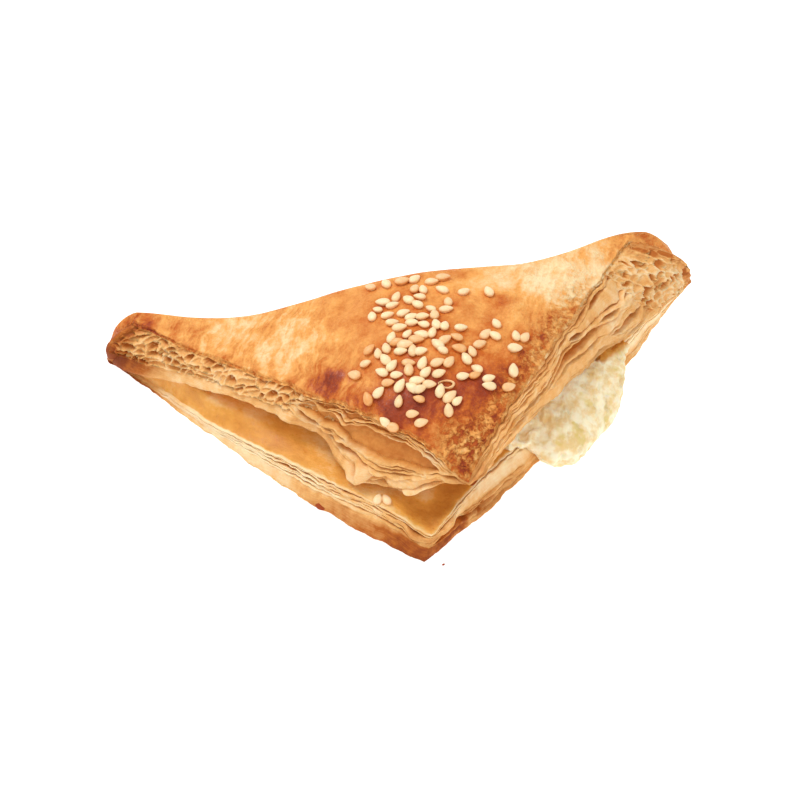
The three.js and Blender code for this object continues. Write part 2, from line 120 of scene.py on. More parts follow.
def humps(x, *rows):
    """The sum of bells, each given by its height, its middle and its reach."""
    return sum(height * bell(x - middle, reach) for height, middle, reach in rows)


def mix(a, b, t):
    """What lies between a and b, at a share t of the way."""
    return a + (b - a) * t


def bell(x, width):
    """1 at 0, falling to 0 on both sides."""
    return np.exp(-((x / width) ** 2))


def column(values):
    """A plain array as a column, to multiply rows of points."""
    return np.asarray(values)[..., None]


def lattice(cells, seed):
    """A random number from 0 to 1 for each whole-numbered cell."""
    x, y, z = (cells[..., k].astype(np.uint64) for k in range(3))
    with np.errstate(over="ignore"):
        mixed = x * np.uint64(73856093) ^ y * np.uint64(19349663) ^ z * np.uint64(83492791)
        mixed = (mixed + np.uint64(seed * 2654435761 % 2**32)) & np.uint64(0xFFFFFFFF)
        mixed = (mixed ^ (mixed >> np.uint64(15))) * np.uint64(2246822519) & np.uint64(0xFFFFFFFF)
        mixed = (mixed ^ (mixed >> np.uint64(13))) * np.uint64(3266489917) & np.uint64(0xFFFFFFFF)
    return (mixed ^ (mixed >> np.uint64(16))).astype(float) / 0xFFFFFFFF


def noise(points, seed):
    """Smooth noise from -1 to 1 whose bumps are about one unit wide."""
    cell = np.floor(points)
    share = points - cell
    share = share * share * (3 - 2 * share)
    cell = cell.astype(np.int64)
    total = np.zeros(points.shape[:-1])
    for corner in np.ndindex(2, 2, 2):
        weight = np.prod(np.where(np.array(corner) == 1, share, 1 - share), axis=-1)
        total += weight * lattice(cell + np.array(corner), seed)
    return total * 2 - 1


def cloud(x, y=0.0, z=0.0, size=1.0, seed=1, octaves=3):
    """Noise of several sizes over points given by their coordinates."""
    points = np.stack(np.broadcast_arrays(x, y, z), axis=-1).astype(float) / size
    total, strength = 0.0, 1.0
    for octave in range(octaves):
        total = total + strength * noise(points * 2**octave + 17.3 * octave, seed + octave)
        strength *= 0.5
    return total / (2 - 2 ** (1 - octaves))


def turned(x, y, degrees):
    """Coordinates along and across a direction in plan."""
    cos, sin = math.cos(math.radians(degrees)), math.sin(math.radians(degrees))
    return x * cos + y * sin, y * cos - x * sin


# ---- outlines and heights


def leg_out(flap, right):
    """Outward direction in plan of one straight leg."""
    tip = np.array(flap.right if right else flap.left, float)
    along = np.array(flap.corner, float) - tip
    along /= np.hypot(*along)
    return np.array([-along[1], along[0]]) if right else np.array([along[1], -along[0]])


def outline(flap, s):
    """Plan points of a flap's edge, from the left tip round the corner to the right tip."""
    on_left = s <= 0.5
    t = 2 * np.minimum(s, 1 - s)
    tip = np.where(column(on_left), flap.left, flap.right)
    out = np.where(column(on_left), leg_out(flap, False), leg_out(flap, True))
    swell = np.where(on_left, *flap.bulge) * np.sin(math.pi * t**BULGE_SKEW)
    return mix(tip, np.array(flap.corner, float), column(t)) + out * column(swell)


def outward(s):
    """Outward direction of the cut faces, turned smoothly round the corner."""
    turn = column(smooth(0.47, 0.53, s))
    out = mix(leg_out(UPPER_FLAP, False), leg_out(UPPER_FLAP, True), turn)
    return out / column(np.hypot(out[..., 0], out[..., 1]))


def inside_rim(right, x, y):
    """How far a place on the top lies inside the rim of one leg, in mm."""
    tip = UPPER_RIM.right if right else UPPER_RIM.left
    out = leg_out(UPPER_RIM, right)
    return (tip[0] - x) * out[0] + (tip[1] - y) * out[1]


def ridge_height(x):
    """Height of the fold, from the left tip to the right one."""
    return RIDGE_LOW + ramps(x, (RIDGE_RISE, -52, 8), (-RIDGE_DROP, 40, 62))


def top_height(x, y):
    """Height of the top, without its fine relief."""
    dome = DOME["height"] * bell(x - DOME["x"], DOME["rx"]) * bell(y - DOME["y"], DOME["ry"])
    from_corner = np.hypot(x - UPPER_FLAP.corner[0], y - UPPER_FLAP.corner[1])
    corner = CORNER_DROOP[0] * bell(from_corner, CORNER_DROOP[1])
    left, right, reach = RIM_DROOP
    near_left = np.exp(-np.maximum(inside_rim(False, x, y) + 1, 0) / reach)
    near_right = np.exp(-np.maximum(inside_rim(True, x, y) + 4, 0) / reach)
    droop = left * near_left * smooth(-45, -15, x) + right * near_right
    return ridge_height(x) + dome - corner - droop


def wrinkles(x, y):
    """Relief of the baked skin: low blisters, and creases that run back from the left leg."""
    blister = BLISTER * np.sin(x * 0.55 + 1.3 * np.sin(y * 0.21)) * np.sin(y * 0.33 + x * 0.12)
    along, across = turned(x, y, 62)
    creases = cloud(along / 5, across, size=2.2, seed=11)
    creased = 0.1 + ramps(x, (0.34, -2, -22), (0.16, 18, 34))
    crackle = cloud(x, y, size=1.3, seed=23) * 0.14 * smooth(34, 46, -y) * smooth(-6, 8, x)
    return blister + creases * creased + crackle


def skin_height(x, y):
    """Height of the top with its relief."""
    return top_height(x, y) + wrinkles(x, y)


def from_tip(s):
    """How far a station is from the nearer tip."""
    return np.minimum(s, 1 - s)


def fullness(s, reach):
    """0 at both tips, 1 further in than a reach."""
    return smooth(0, reach, from_tip(s))


def near_corner(s):
    """1 at the corner, where both flaps are lifted."""
    return window(s, 0.36, 0.5, 0.5, 0.58)


def sag(s):
    """1 where the upper flap's foot hangs out and down, left of the corner."""
    return window(s, 0.3, 0.36, 0.43, 0.49)


def base_lift(s):
    """How far the tips are lifted off the table."""
    left, right = TIP_LIFT
    return left * smooth(0.15, 0, s) + right * smooth(0.15, 0, 1 - s)


def flap_height(s):
    """Height of the lower flap, away from its edge."""
    return base_lift(s) + mix(*FLAP_HEIGHT, fullness(s, 0.125)) + near_corner(s)


def lower_rim_height(s):
    """Height of the lower flap's upper edge."""
    left = mix(0.8, FLAP_HEIGHT[1], smooth(0.1, 0.36, s))
    right = mix(*FLAP_HEIGHT, smooth(0, 0.125, 1 - s))
    rim = np.where(s < 0.5, left, right) - 3.6 * bell(s - 0.5, 0.04)
    return base_lift(s) + rim + near_corner(s)


def lip_height(s):
    """Height of the upper flap's lower edge."""
    gap = mix(0.8, 3.8, window(s, 0.06, 0.2, 0.8, 0.94))
    gap = gap - SAG_DEPTH * sag(s) + 2 * bell(s - 0.5, 0.03)
    return flap_height(s) + gap - 2.4 * smooth(0.24, 0.08, s)


def mouth_gap(s):
    """Height of the opening between the flaps."""
    return lip_height(s) - lower_rim_height(s)


def fold_base(s):
    """Plan of the fold's foot."""
    across = mix(*FOLD_TOP_X, s)
    y = 2 + ramps(across, (-8.5, -62, -30), (1, -20, 20), (8.5, 25, 58))
    return np.stack([mix(*FOLD_BASE_X, s), y], axis=-1)


def fold_top(s):
    """Plan of the fold's crest."""
    y = fold_base(s)[..., 1] + FOLD_TURN * smooth(0.85, 1, s)
    return np.stack([mix(*FOLD_TOP_X, s), y], axis=-1)


def tip_swell(s):
    """How far the tips swell along X and Z, beyond the legs' even run."""
    left, right = (column(smooth(TIP_REACH, 0, away)) for away in (s, 1 - s))
    return left * np.array(TIP_SWELL_LEFT) + right * np.array(TIP_SWELL_RIGHT)


def raised(plan, height):
    """Plan points with their heights."""
    return np.concatenate([plan, column(np.broadcast_to(height, plan.shape[:-1]))], axis=-1)


Rails = namedtuple("Rails", "base ledge lip rim out")


def ragged(s, wave, ripple, seed):
    """How far an edge wanders, in mm: slowly by wave, from one millimetre to the next by ripple."""
    along = s * WAY
    wander = wave * cloud(along / 5, seed=seed) + ripple * cloud(along / 1.3, seed=seed + 5)
    return column(wander * fullness(s, 0.04))


def rails(s):
    """The lines that run from tip to tip along the cut edges, for an array of stations."""
    out = outward(s)
    base = raised(outline(LOWER_FLAP, s) + out * ragged(s, 0.5, 0.25, 301), base_lift(s))
    ledge = raised(outline(LOWER_RIM, s) + out * ragged(s, 0.4, 0.3, 311), lower_rim_height(s))
    rim_plan = outline(UPPER_RIM, s) + out * ragged(s, 0.6, 0.35, 321)
    rim = raised(rim_plan, top_height(rim_plan[..., 0], rim_plan[..., 1]) - RIM_BELOW)
    hung_out = column(SAG_REACH * sag(s)) + ragged(s, 0.6, 0.2, 331)
    lip_drop = ragged(s, 0.4, 0.15, 341)[..., 0]
    lip = raised(outline(UPPER_FLAP, s) + out * hung_out, lip_height(s) + lip_drop)
    return Rails(base, ledge, lip, rim, out)


def pocket_back(s, lip):
    """Plan of the pocket's deepest line."""
    depth = mix(0.45, 0.8, smooth(0.04, 0.32, from_tip(s)))
    return mix(lip[..., :2], fold_top(s), column(depth))


def pocket_gap(s, u):
    """Height of the pocket, at a share u of its depth."""
    inner = mix(*POCKET_HEIGHT, window(s, 0.12, 0.45, 0.6, 0.88))
    return mix(mouth_gap(s), inner, smooth(0, 0.4, u)) * np.sqrt(1 - u**4)


def pocket_floor(s, u):
    """Height of the pocket's floor, at a share u of its depth."""
    inner = flap_height(s) - 1.6 * bell(s - 0.5, 0.06)
    floor = mix(lower_rim_height(s), inner, smooth(0, 0.3, u))
    return floor - 0.8 * np.sin(math.pi * u) * fullness(s, 0.2)


def to_row(points):
    """From millimetres in the dough's frame to metres in the row's frame."""
    return (np.asarray(points, float) - ORIGIN) * MM


# ---- leaves of the cut faces

Cells = namedtuple("Cells", "count along share length opening")
Lens = namedtuple("Lens", "along share length opening")
Frill = namedtuple("Frill", "along length first last amount")
Web = namedtuple("Web", "start end foot cell pit closed lit")
Lamination = namedtuple(
    "Lamination", "leaves recess bulge apart cells hollows thick frills webs seed")

# along, start and end: mm from the left tip round the corner; share, first and last: how far down
# the face; length: half length in mm; opening: in mm, or for a thick leaf how much is added to a
# share of 1; amount and pit: mm outwards and inwards; foot: 1 where a web reaches the lower brim;
# cell: mm, along and down; closed: the share of its cells that are shallow; lit: how strongly the
# other cells show their painted shade and glow.
UPPER = Lamination(
    leaves=13, recess=2.2, bulge=1.5, apart=0.6, seed=5,
    cells=(
        Cells(34, (44, 68), (0.05, 0.66), (1.4, 4), (0.4, 1)),
        Cells(20, (56, 94), (0, 0.4), (3, 9), (0.3, 0.6)),
        Cells(12, (62, 96), (0.5, 1), (2, 6), (0.3, 0.9)),
        Cells(9, (98, 150), (0, 1), (5, 16), (0.3, 1)),
        Cells(12, (146, 176), (0.1, 0.9), (2, 6), (0.4, 1.2)),
    ),
    hollows=(
        Lens(60, 0.45, 10, 2.8), Lens(76, 0.5, 13, 6.5), Lens(66, 0.8, 7, 1.8),
        Lens(148, 0.45, 11, 1.4), Lens(166, 0.7, 8, 2.4), Lens(120, 0.6, 14, 1),
    ),
    thick=(
        Lens(28, 0.97, 46, 8), Lens(80, 0.8, 18, 6), Lens(84, 0.97, 14, 2),
        Lens(118, 0.3, 24, 5), Lens(135, 0.75, 26, 6), Lens(160, 0.2, 22, 5),
        Lens(112, 0.85, 14, 5), Lens(150, 0.5, 20, 4),
    ),
    # Torn leaves that stand out of the face, and the parts of it baked into a web of cells.
    frills=(
        Frill(72, 12, 0.6, 1.1, 3.4), Frill(86, 9, 0.4, 1.1, 1.5), Frill(97, 5, 0, 1, 1.6),
        Frill(183, 8, 0.2, 1, 2.2),
    ),
    webs=(
        Web(1, 54, 0, (2.8, 1.4), 2.2, 0.15, 0.6), Web(190, 170, 1, (2.6, 1.7), 1.8, 0.4, 1),
    ),
)
LOWER = Lamination(
    leaves=6, recess=1.6, bulge=0.6, apart=0.25, seed=9,
    cells=(
        Cells(9, (44, 92), (0.1, 0.8), (3, 12), (0.06, 0.22)),
        Cells(10, (96, 184), (0, 1), (4, 12), (0.2, 0.6)),
    ),
    hollows=(Lens(113, 0.72, 13, 1.5), Lens(101, 0.7, 5, 1.5), Lens(60, 0.3, 14, 0.6)),
    thick=(Lens(58, 0.97, 58, 8), Lens(140, 0.3, 60, 5), Lens(92, 0.97, 16, 3)),
    frills=(Frill(70, 30, 0, 0.4, 1.2), Frill(97, 8, 0, 0.5, 1.2)),
    webs=(),
)
LEAF_STATIONS = 480
LEAF_STRETCH = 2.3              # of the pattern down the face
LEAF_RING = (
    # down the face, in thicknesses; outward: 0 at the wall, 1 at the leaf's edge
    (-0.5, 0.0), (-0.5, 0.55), (-0.5, 0.8), (-0.42, 0.94), (-0.2, 1.0),
    (0.2, 1.0), (0.42, 0.94), (0.5, 0.8), (0.5, 0.55), (0.5, 0.0),
)
BRIM_TOP, BRIM_FOOT = 0.45, 0.36    # mm of a cut face that the leaves leave free
THINNEST_LEAF = 0.12
CELL_PUSH = 0.6                 # how much of the way to the brim a cell may take up
# The rounded brim over and under a cut face: mm down the face, mm outward.
BRIM = ((0.0, 0.0), (0.08, 0.12), (0.2, 0.17), (0.33, 0.1), (0.45, -0.1), (0.5, -0.6))


def face_lines(first, last):
    """Unit direction down a cut face and its height, at each station."""
    down = last - first
    height = np.linalg.norm(down, axis=-1)
    return down / column(height), height


def face_points(first, down, place, out, push, swell, arch):
    """Points some way down a cut face, pushed outwards, and swollen as far as they arch."""
    points = first + down * column(place)
    points[..., :2] += out * column(push)
    points[..., [0, 2]] += swell * column(arch)
    return points


def lens_row(along, lens):
    """How wide a lens-shaped opening is, at each station."""
    return lens.opening * np.clip(1 - ((along - lens.along) / lens.length) ** 2, 0, 1)


def drawn_cells(lamination):
    """The small cells of a cut face, drawn at random, and its named hollows."""
    random = np.random.default_rng(lamination.seed)
    for cells in lamination.cells:
        for _ in range(cells.count):
            yield Lens(
                random.uniform(*cells.along),
                random.uniform(*cells.share),
                mix(*cells.length, random.random()),
                mix(*cells.opening, random.random()),
            )
    yield from lamination.hollows


def leaf_places(along, height, lamination):
    """How far down the face each leaf lies, and how thick it is, at each station, in mm.

    The leaves fill the face. A cell opens where two of them meet and pushes its neighbours
    apart, less and less with distance, so that the brims above and below stay in place.
    """
    count = lamination.leaves
    room = np.maximum(height - BRIM_TOP - BRIM_FOOT, 0.6)
    uneven = cloud(along / 12, np.arange(count)[:, None] * 5.3, seed=lamination.seed)
    leaves = np.exp((0.6 + 1.1 * smooth(97, 106, along)) * uneven)
    for lens in lamination.thick:
        leaves[int(lens.share * count)] += lens_row(along, lens)
    even = np.cumsum(leaves, axis=0) * room / leaves.sum(axis=0)
    even = np.concatenate([np.zeros((1, len(along))), even])
    over, under = even.copy(), even.copy()
    for cell in drawn_cells(lamination):
        row = min(max(round(cell.share * count), 1), count - 1)
        middle = even[row]
        # The row itself opens: what lies above it rises, what lies below it sinks.
        for side, first, last, to_brim in (
                (-1, 0, row + 1, middle), (1, row, count + 1, room - middle)):
            push = np.minimum(lens_row(along, cell) / 2, CELL_PUSH * to_brim)
            reach = np.minimum(2.5 * push + 1.2, to_brim) + 1e-3
            shift = side * push * np.clip(1 - np.abs(even[first:last] - middle) / reach, 0, 1)
            if side < 0:
                over[first:last] += shift
                under[first:last - 1] += shift[:-1]
            else:
                under[first:last] += shift
                over[first + 1:last] += shift[1:]
    tops, feet = under[:-1], over[1:]
    return BRIM_TOP + (tops + feet) / 2, np.maximum(feet - tops, THINNEST_LEAF)


def parted(along, k, lamination):
    """How clearly a leaf stands apart from its neighbours: 1 cut round, 0 baked together."""
    even = mix(lamination.apart, 0.3, smooth(96, 106, along))
    return np.clip(even + 0.6 * cloud(along / 8, 0.9 * k, seed=lamination.seed + 13), 0.1, 1)


def edge_reach(along, k, lamination):
    """How far the edge of a leaf stands out from the even face, in mm."""
    seed = lamination.seed
    right, left = window(along, 98, 112, 176, 187), window(along, 24, 56, 86, 94)
    shared = cloud(along / 3.5, 0.45 * k, seed=seed + 1)
    terrace = cloud(along / 9, 1.3 * k, seed=seed + 7)
    own = cloud(along / 1.1, 4.1 * k, seed=seed + 2)
    tear = np.maximum(cloud(along / 4, 3.7 * k, seed=seed + 31, octaves=2) + 0.2, 0)
    share, frill = (k + 0.5) / lamination.leaves, 0.0
    for torn in lamination.frills:
        near = window(share, torn.first, torn.first + 0.15, torn.last - 0.15, torn.last)
        frill = frill + near * torn.amount * tear * bell(along - torn.along, torn.length)
    even = (0.15 + 0.25 * left) * shared + (0.1 + 0.2 * left + 0.85 * right) * terrace
    return even + 0.14 * own + frill


def web_cover(along, lamination, k):
    """How far a web hides the leaf behind it: 1 under the web, 0 beside it."""
    cover = np.zeros_like(along)
    for web in lamination.webs:
        inner_end = web.end + math.copysign(WEB_FADE, web.start - web.end)
        ragged_place = along + 3 * cloud(along / 4, 0.5 * k, seed=lamination.seed + 41)
        cover = np.maximum(cover, smooth(web.end, inner_end, ragged_place))
    return cover * (k < lamination.leaves - 1)


def cell_walls(x, y, seed):
    """How far a point is from the wall between random cells, and its cell's own number."""
    cell = np.stack([np.floor(x), np.floor(y), np.zeros_like(x)], axis=-1).astype(np.int64)
    first = np.full(x.shape, 9.0)
    second, owner = first.copy(), first.copy()
    for i, j in np.ndindex(3, 3):
        corner = cell + np.array([i - 1, j - 1, 0])
        gap = np.hypot(x - corner[..., 0] - 0.1 - 0.8 * lattice(corner, seed),
                       y - corner[..., 1] - 0.1 - 0.8 * lattice(corner, seed + 1))
        nearer = gap < first
        second = np.where(nearer, first, np.minimum(second, gap))
        owner = np.where(nearer, lattice(corner, seed + 2), owner)
        first = np.where(nearer, gap, first)
    return second - first, owner


WEB_STEP, WEB_ROWS = 0.2, 46    # mm between stations, rows down the face
WEB_FADE, WEB_BACK = 8, 1.6     # mm over which a web begins, mm to its back
WEB_SHADE_AND_TOAST = (0.75, -0.06)       # how much browner than the face its cells are, as painted shade in them, and its strands


def web_sheet(web, lamination):
    """Points of one web: a sheet over the leaves, dented by the open cells between strands."""
    low, high = min(web.start, web.end) - 0.2, max(web.start, web.end) + 0.2
    low, high = (low, high + 6) if web.start < web.end else (low - 6, high)
    along = np.arange(low, high, WEB_STEP)
    s = along / WAY
    rail = rails(s)
    down, height = face_lines(rail.rim, rail.lip)
    centres, thicknesses = leaf_places(along, height, lamination)
    foot = mix(centres[-1] - thicknesses[-1] / 2 + 0.3, height - BRIM_FOOT, web.foot)
    share = np.linspace(0, 1, WEB_ROWS)[None, :]
    place = mix(BRIM_TOP * 0.6, column(foot), share)
    far = column(along) + 0 * place

    x = far / web.cell[0] + 0.7 * cloud(far / 3, place / 2, seed=71)
    y = place / web.cell[1] + 0.7 * cloud(far / 3, place / 2, seed=77) + 0.12 * far / web.cell[0]
    wall, owner = cell_walls(x, y, 81)
    pit = smooth(0.04, 0.34, wall) * np.clip((owner - web.closed) * 2.5, 0.3, 1)
    pit = pit * smooth(0, 0.08, share) * (1 - smooth(0.93, 1, share) * (1 - web.foot))
    hidden = 1 - web_cover(along, lamination, 0)
    swell = 0.7 * cloud(far / 4, place / 2.5, seed=91) + 0.25 * cloud(far / 1.2, place, seed=95)
    swell = swell + 0.9 * smooth(182, 188, far) * cloud(far / 3, place / 1.4, seed=97)
    arch = np.sin(math.pi * place / column(height))
    ends = column(smooth(0, 3, np.minimum(along, WAY - along)))
    push = lamination.bulge * arch + 0.25 + swell - web.pit * pit * ends - 2.2 * column(hidden)
    push[:, [0, -1]] -= 0.8

    points = face_points(rail.rim[:, None], down[:, None], place, rail.out[:, None], push,
                         tip_swell(s)[:, None], arch)
    back = points[:, [-1, 0]].copy()
    back[..., :2] -= WEB_BACK * rail.out[:, None]
    ones = np.ones((len(s), 1))
    # The open cells and the back get a depth, which the leaf material paints as shade and glow.
    depth = np.concatenate([web.lit * pit, ones, ones], axis=1)
    share = np.concatenate([place / column(height), ones, 0 * ones], axis=1)
    way = np.pad(far, ((0, 0), (0, 2)), "edge")
    leaf = np.stack([way, LEAF_STRETCH * share * column(height), 0 * share], axis=-1)
    return along, np.concatenate([points, back], axis=1), depth, leaf, share


def leaf_stack(lamination, upper):
    """Points of all the leaves of a cut face, with the values that colour them."""
    s = np.linspace(0, 1, LEAF_STATIONS + 1)
    along = s * WAY
    rail = rails(s)
    first, last = (rail.rim, rail.lip) if upper else (rail.ledge, rail.base)
    down, height = face_lines(first, last)
    centres, thicknesses = leaf_places(along, height, lamination)
    swell = tip_swell(s) if upper else 0.0
    ends = smooth(0.5, 4.5, np.minimum(along, WAY - along))
    corner = 1 - 0.4 * bell(along - LEG_LENGTH, 2.5)
    recess = lamination.recess
    wall = -recess * mix(0.3, 1.0, ends) - 0.3
    stack = []
    for k, (centre, thickness) in enumerate(zip(centres, thicknesses)):
        edge = edge_reach(along, k, lamination) * ends * corner - 0.7 * recess * (1 - ends)
        edge = edge - 1.9 * web_cover(along, lamination, k)
        flutter = 0.3 * cloud(along / 2.6, 0.7 * k, seed=lamination.seed + 3) * corner
        flutter = flutter + 0.35 * np.maximum(edge - 0.6, 0)
        arched = np.sin(math.pi * centre / height)
        apart = parted(along, k, lamination)
        rows = []
        for across, cut in LEAF_RING:
            reach = 1 - (1 - cut) * apart if cut else np.zeros_like(s)
            push = lamination.bulge * arched + mix(wall, edge, reach)
            tuck = 1.3 * (1 - reach) * (1 - 2 * centre / height)
            slip = centre + across * thickness + flutter * reach**2 + tuck
            point = face_points(first, down, slip, rail.out, push, swell, arched)
            leaf = np.stack([along, LEAF_STRETCH * slip + reach * recess, 0 * s], axis=1)
            # The part of each leaf towards the wall gets a depth, which the leaf material paints as
            # shade and glow.
            rows.append((point, (1 - reach) ** 0.7, leaf, slip / height))
        ring, depth, leaf, share = (np.stack(row, axis=1) for row in zip(*rows))
        tone = 0.12 * cloud(along / 9, 3.3 * k, seed=lamination.seed + 4)
        # Painted highlight: left of the corner, leaves whose edges stand far out are made paler,
        # where light catches them.
        tone = tone - 0.08 * smooth(0.3, 1.8, edge) * smooth(106, 96, along)
        stack.append((ring, depth, leaf, share, column(tone)))
    return along, stack


# ---- how the dough has browned, with painted light and shade

# Spots on the top: X and Y, mm, the reach along and across, mm, the turn, degrees, and how much
# browner the spot is. First the flanks, whose paler spots are partly the skin's own pale tone and
# partly painted highlight, then the front, then single spots.
TOP_SPOTS = (
    (-31, -16, 20, 11, -35, -0.2), (-44, -4, 12, 6, -10, 0.04), (34, -11, 18, 8, -15, -0.34),
    (46, -3, 9, 6, -10, -0.24), (-38, -7, 6, 4, -30, -0.16), (20, -3, 22, 3, 0, -0.12),

    (4, -45, 9, 5, -20, 0.24), (-7, -43.5, 7, 4, -20, 0.28), (14, -43.5, 5, 3.5, 20, 0.26),
    (20.5, -37, 5, 4, 40, 0.2), (9, -52, 6, 4, 0, 0.02), (16, -43, 5, 3, 50, 0.06),
    (12, -39, 8, 3, 10, 0.03),

    (-17.1, -32.5, 3.2, 2.4, 20, 0.36), (-18, -34, 8, 5, -40, 0.14), (29, -31, 3.4, 2, 60, -0.06),
    (34, -21, 4, 2.4, 60, -0.1), (10, -10, 7, 4, 0, -0.12), (22, -17, 3, 1.6, 0, 0.16),
    (16, -6, 9, 3, -8, 0.18), (-13, -20, 11, 4, 60, 0.06), (-58, -1, 7, 4, 0, 0.12),
)


def top_browning_and_shading(x, y):
    """How far the skin has browned, from 0, pale, to 1, dark, with painted shade round each seed
    and partly painted highlight on the paler flanks.
    """
    toast_and_shading = np.full_like(x, 0.45)
    warp = 2.2 * cloud(x, y, size=5, seed=35)
    for spot_x, spot_y, reach, reach_across, turn, brown in TOP_SPOTS:
        along, across = turned(x + warp - spot_x, y - warp - spot_y, turn)
        toast_and_shading += brown * bell(along, reach) * bell(across, reach_across)
    along, across = turned(x, y, 64)
    toast_and_shading += 0.1 * cloud(along / 3.2, across, size=2.4, seed=31)
    toast_and_shading += 0.08 * cloud(x, y, size=6, seed=37)
    # Painted shade: the skin is darkened in a ring round each seed, where its contact shadow falls.
    for seed_x, seed_y, _ in TOP_SEEDS:
        toast_and_shading += 0.13 * bell(np.hypot(x - seed_x, y - seed_y), 1.7)
    edge = bell(inside_rim(False, x, y), 2.4) + 0.7 * bell(inside_rim(True, x, y), 2.4)
    return toast_and_shading + edge * (0.08 + 0.16 * cloud(x, y, size=1.8, seed=43))


def crispness(x, y):
    """Where the skin has blistered into fine crisp flakes: at the corner and by the right rim."""
    corner = bell(np.hypot(x - 9, (y + 55) * 1.2), 8)
    rim = bell(inside_rim(True, x, y), 3.5) * window(x, 8, 16, 36, 46)
    patchy = 0.75 + 0.5 * cloud(x, y, size=4, seed=91)
    return np.clip((corner + 0.7 * rim) * patchy, 0, 1)


def wrinkling(x, y):
    """Where the skin is drawn into fine wrinkles: on the pale flanks."""
    left, right = smooth(-8, -20, x + 0.3 * y + 8), 0.6 * smooth(18, 30, x)
    return np.clip(np.maximum(left, right) + 0.15, 0, 1)


def rim_browning(along):
    """Browning of the skin's own edge, above the cut faces."""
    toast_and_shading = 0.36 + ramps(along, (0.3, 20, 4), (0.14, 66, 40), (-0.08, 96, 104))
    return toast_and_shading + 0.06 * bell(along - 84, 8) + 0.12 * cloud(along / 3, seed=41)


def face_browning(along, share):
    """Browning of the upper cut face: dark at the left tip, pale in the middle of the legs."""
    toast_and_shading = 0.37 + ramps(along, (0.45, 6, 1), (-0.1, 150, 172), (0.36, 185, 190))
    toast_and_shading = toast_and_shading + humps(along, (-0.03, 36, 20), (0.02, 80, 22), (0.26, 95, 4))
    toast_and_shading = toast_and_shading + 0.5 * smooth(15, 6, along) * smooth(0.45, 0.65, share)
    toast_and_shading = toast_and_shading + 0.8 * bell(along - 96, 4) * smooth(0.5, 0.8, share)
    toast_and_shading = toast_and_shading + 0.2 * smooth(158, 172, along) * cloud(along / 3, share * 5, seed=47)
    toast_and_shading = toast_and_shading - 0.16 * bell(along - 86, 8) * smooth(0.5, 0.15, share)
    under_rim = 0.14 + 0.2 * window(along, 100, 130, 156, 168)
    return toast_and_shading + under_rim * smooth(0.14, 0, share)


def base_browning(along, share):
    """Browning of the lower cut face: darker at its foot, at the corner and at the tips."""
    pale = window(along, 16, 36, 50, 70)
    foot = smooth(0.38, 0.52, share) * (0.36 - 0.14 * smooth(100, 110, along) - 0.24 * pale)
    toast_and_shading = 0.16 - 0.1 * pale + foot + 0.12 * smooth(0.7, 1, share)
    toast_and_shading = toast_and_shading + ramps(along, (0.45, 22, 4), (-0.16, 116, 140), (0.15, 176, 188))
    toast_and_shading = toast_and_shading + 0.12 * bell(along - 80, 9) + 0.14 * smooth(95, 104, along) * share
    toast_and_shading = toast_and_shading + 0.42 * bell(along - 94, 9) * smooth(0, 0.2, share)
    blotches = smooth(0, 0.5, cloud(along / 2.6, share * 4, seed=57)) * bell(along - 107, 9)
    return toast_and_shading + 0.4 * blotches * smooth(0.3, 0.5, share)


# ---- the dough


class Patchwork:
    """Collects the strips of one section, from the fold over the top and back."""

    def __init__(self):
        self.strips = []

    def add(self, kind, points, toast_and_shading, depth=0.0, crisp=0.0, wrinkled=0.2):
        """Adds a strip's points at every station, and the values that colour them."""
        values = {"kind": kind, "toast_and_shading": toast_and_shading, "depth": depth, "crisp": crisp,
                  "wrinkled": wrinkled}
        strip = {name: np.broadcast_to(value, points.shape[:2]) for name, value in values.items()}
        self.strips.append({"points": points, **strip})

    def joined(self, name):
        """One value of all the strips, side by side."""
        return np.concatenate([strip[name] for strip in self.strips], axis=1)


SKIN, LEAVES, INNER = 0, 1, 2
SKIN_ROWS = 4                   # of the upper cut face, counted from the rim


def brim_and_wall(upper, lower, out, lamination, s, swell=0.0):
    """A cut face of the dough: a brim at each end and the wall behind the leaves between."""
    down, height = face_lines(upper, lower)
    depth = lamination.recess * mix(0.1, 1.0, fullness(s, 0.022))
    # Right of the corner the wall is kept near the leaves, clear of the pocket's floor.
    shallow = 1 - 0.7 * bell(s - 0.528, 0.03)
    rows = [(np.full_like(height, drop), push) for drop, push in BRIM]
    for share in np.linspace(0, 1, WALL_STEPS):
        rows.append((mix(BRIM_TOP + 0.15, height - BRIM_FOOT - 0.15, share), None))
    rows += [(height - drop * 0.8, push) for drop, push in reversed(BRIM)]
    points = []
    for place, push in rows:
        arch = np.sin(math.pi * place / height)
        crumpled = 1 + cloud(s * 150, place, seed=lamination.seed + 21)
        inset = -depth if push is None else push * crumpled
        push_out = lamination.bulge * arch + shallow * inset
        points.append(face_points(upper, down, place, out, push_out, swell, arch))
    return np.stack(points, axis=1), np.array([push is None for _, push in rows])


def top_patch(patches, rail, top):
    """The skin of the top, from the fold to the rim."""
    t = 1 - (1 - np.arange(TOP_STEPS) / TOP_STEPS) ** 1.25
    plan = mix(top[:, None], rail.rim[:, None, :2], column(t))
    x, y = plan[..., 0], plan[..., 1]
    skin = raised(plan, top_height(x, y) + wrinkles(x, y) * smooth(0, 0.08, t)[None, :])
    patches.add(SKIN, skin, top_browning_and_shading(x, y), 0.0, crispness(x, y), wrinkling(x, y))


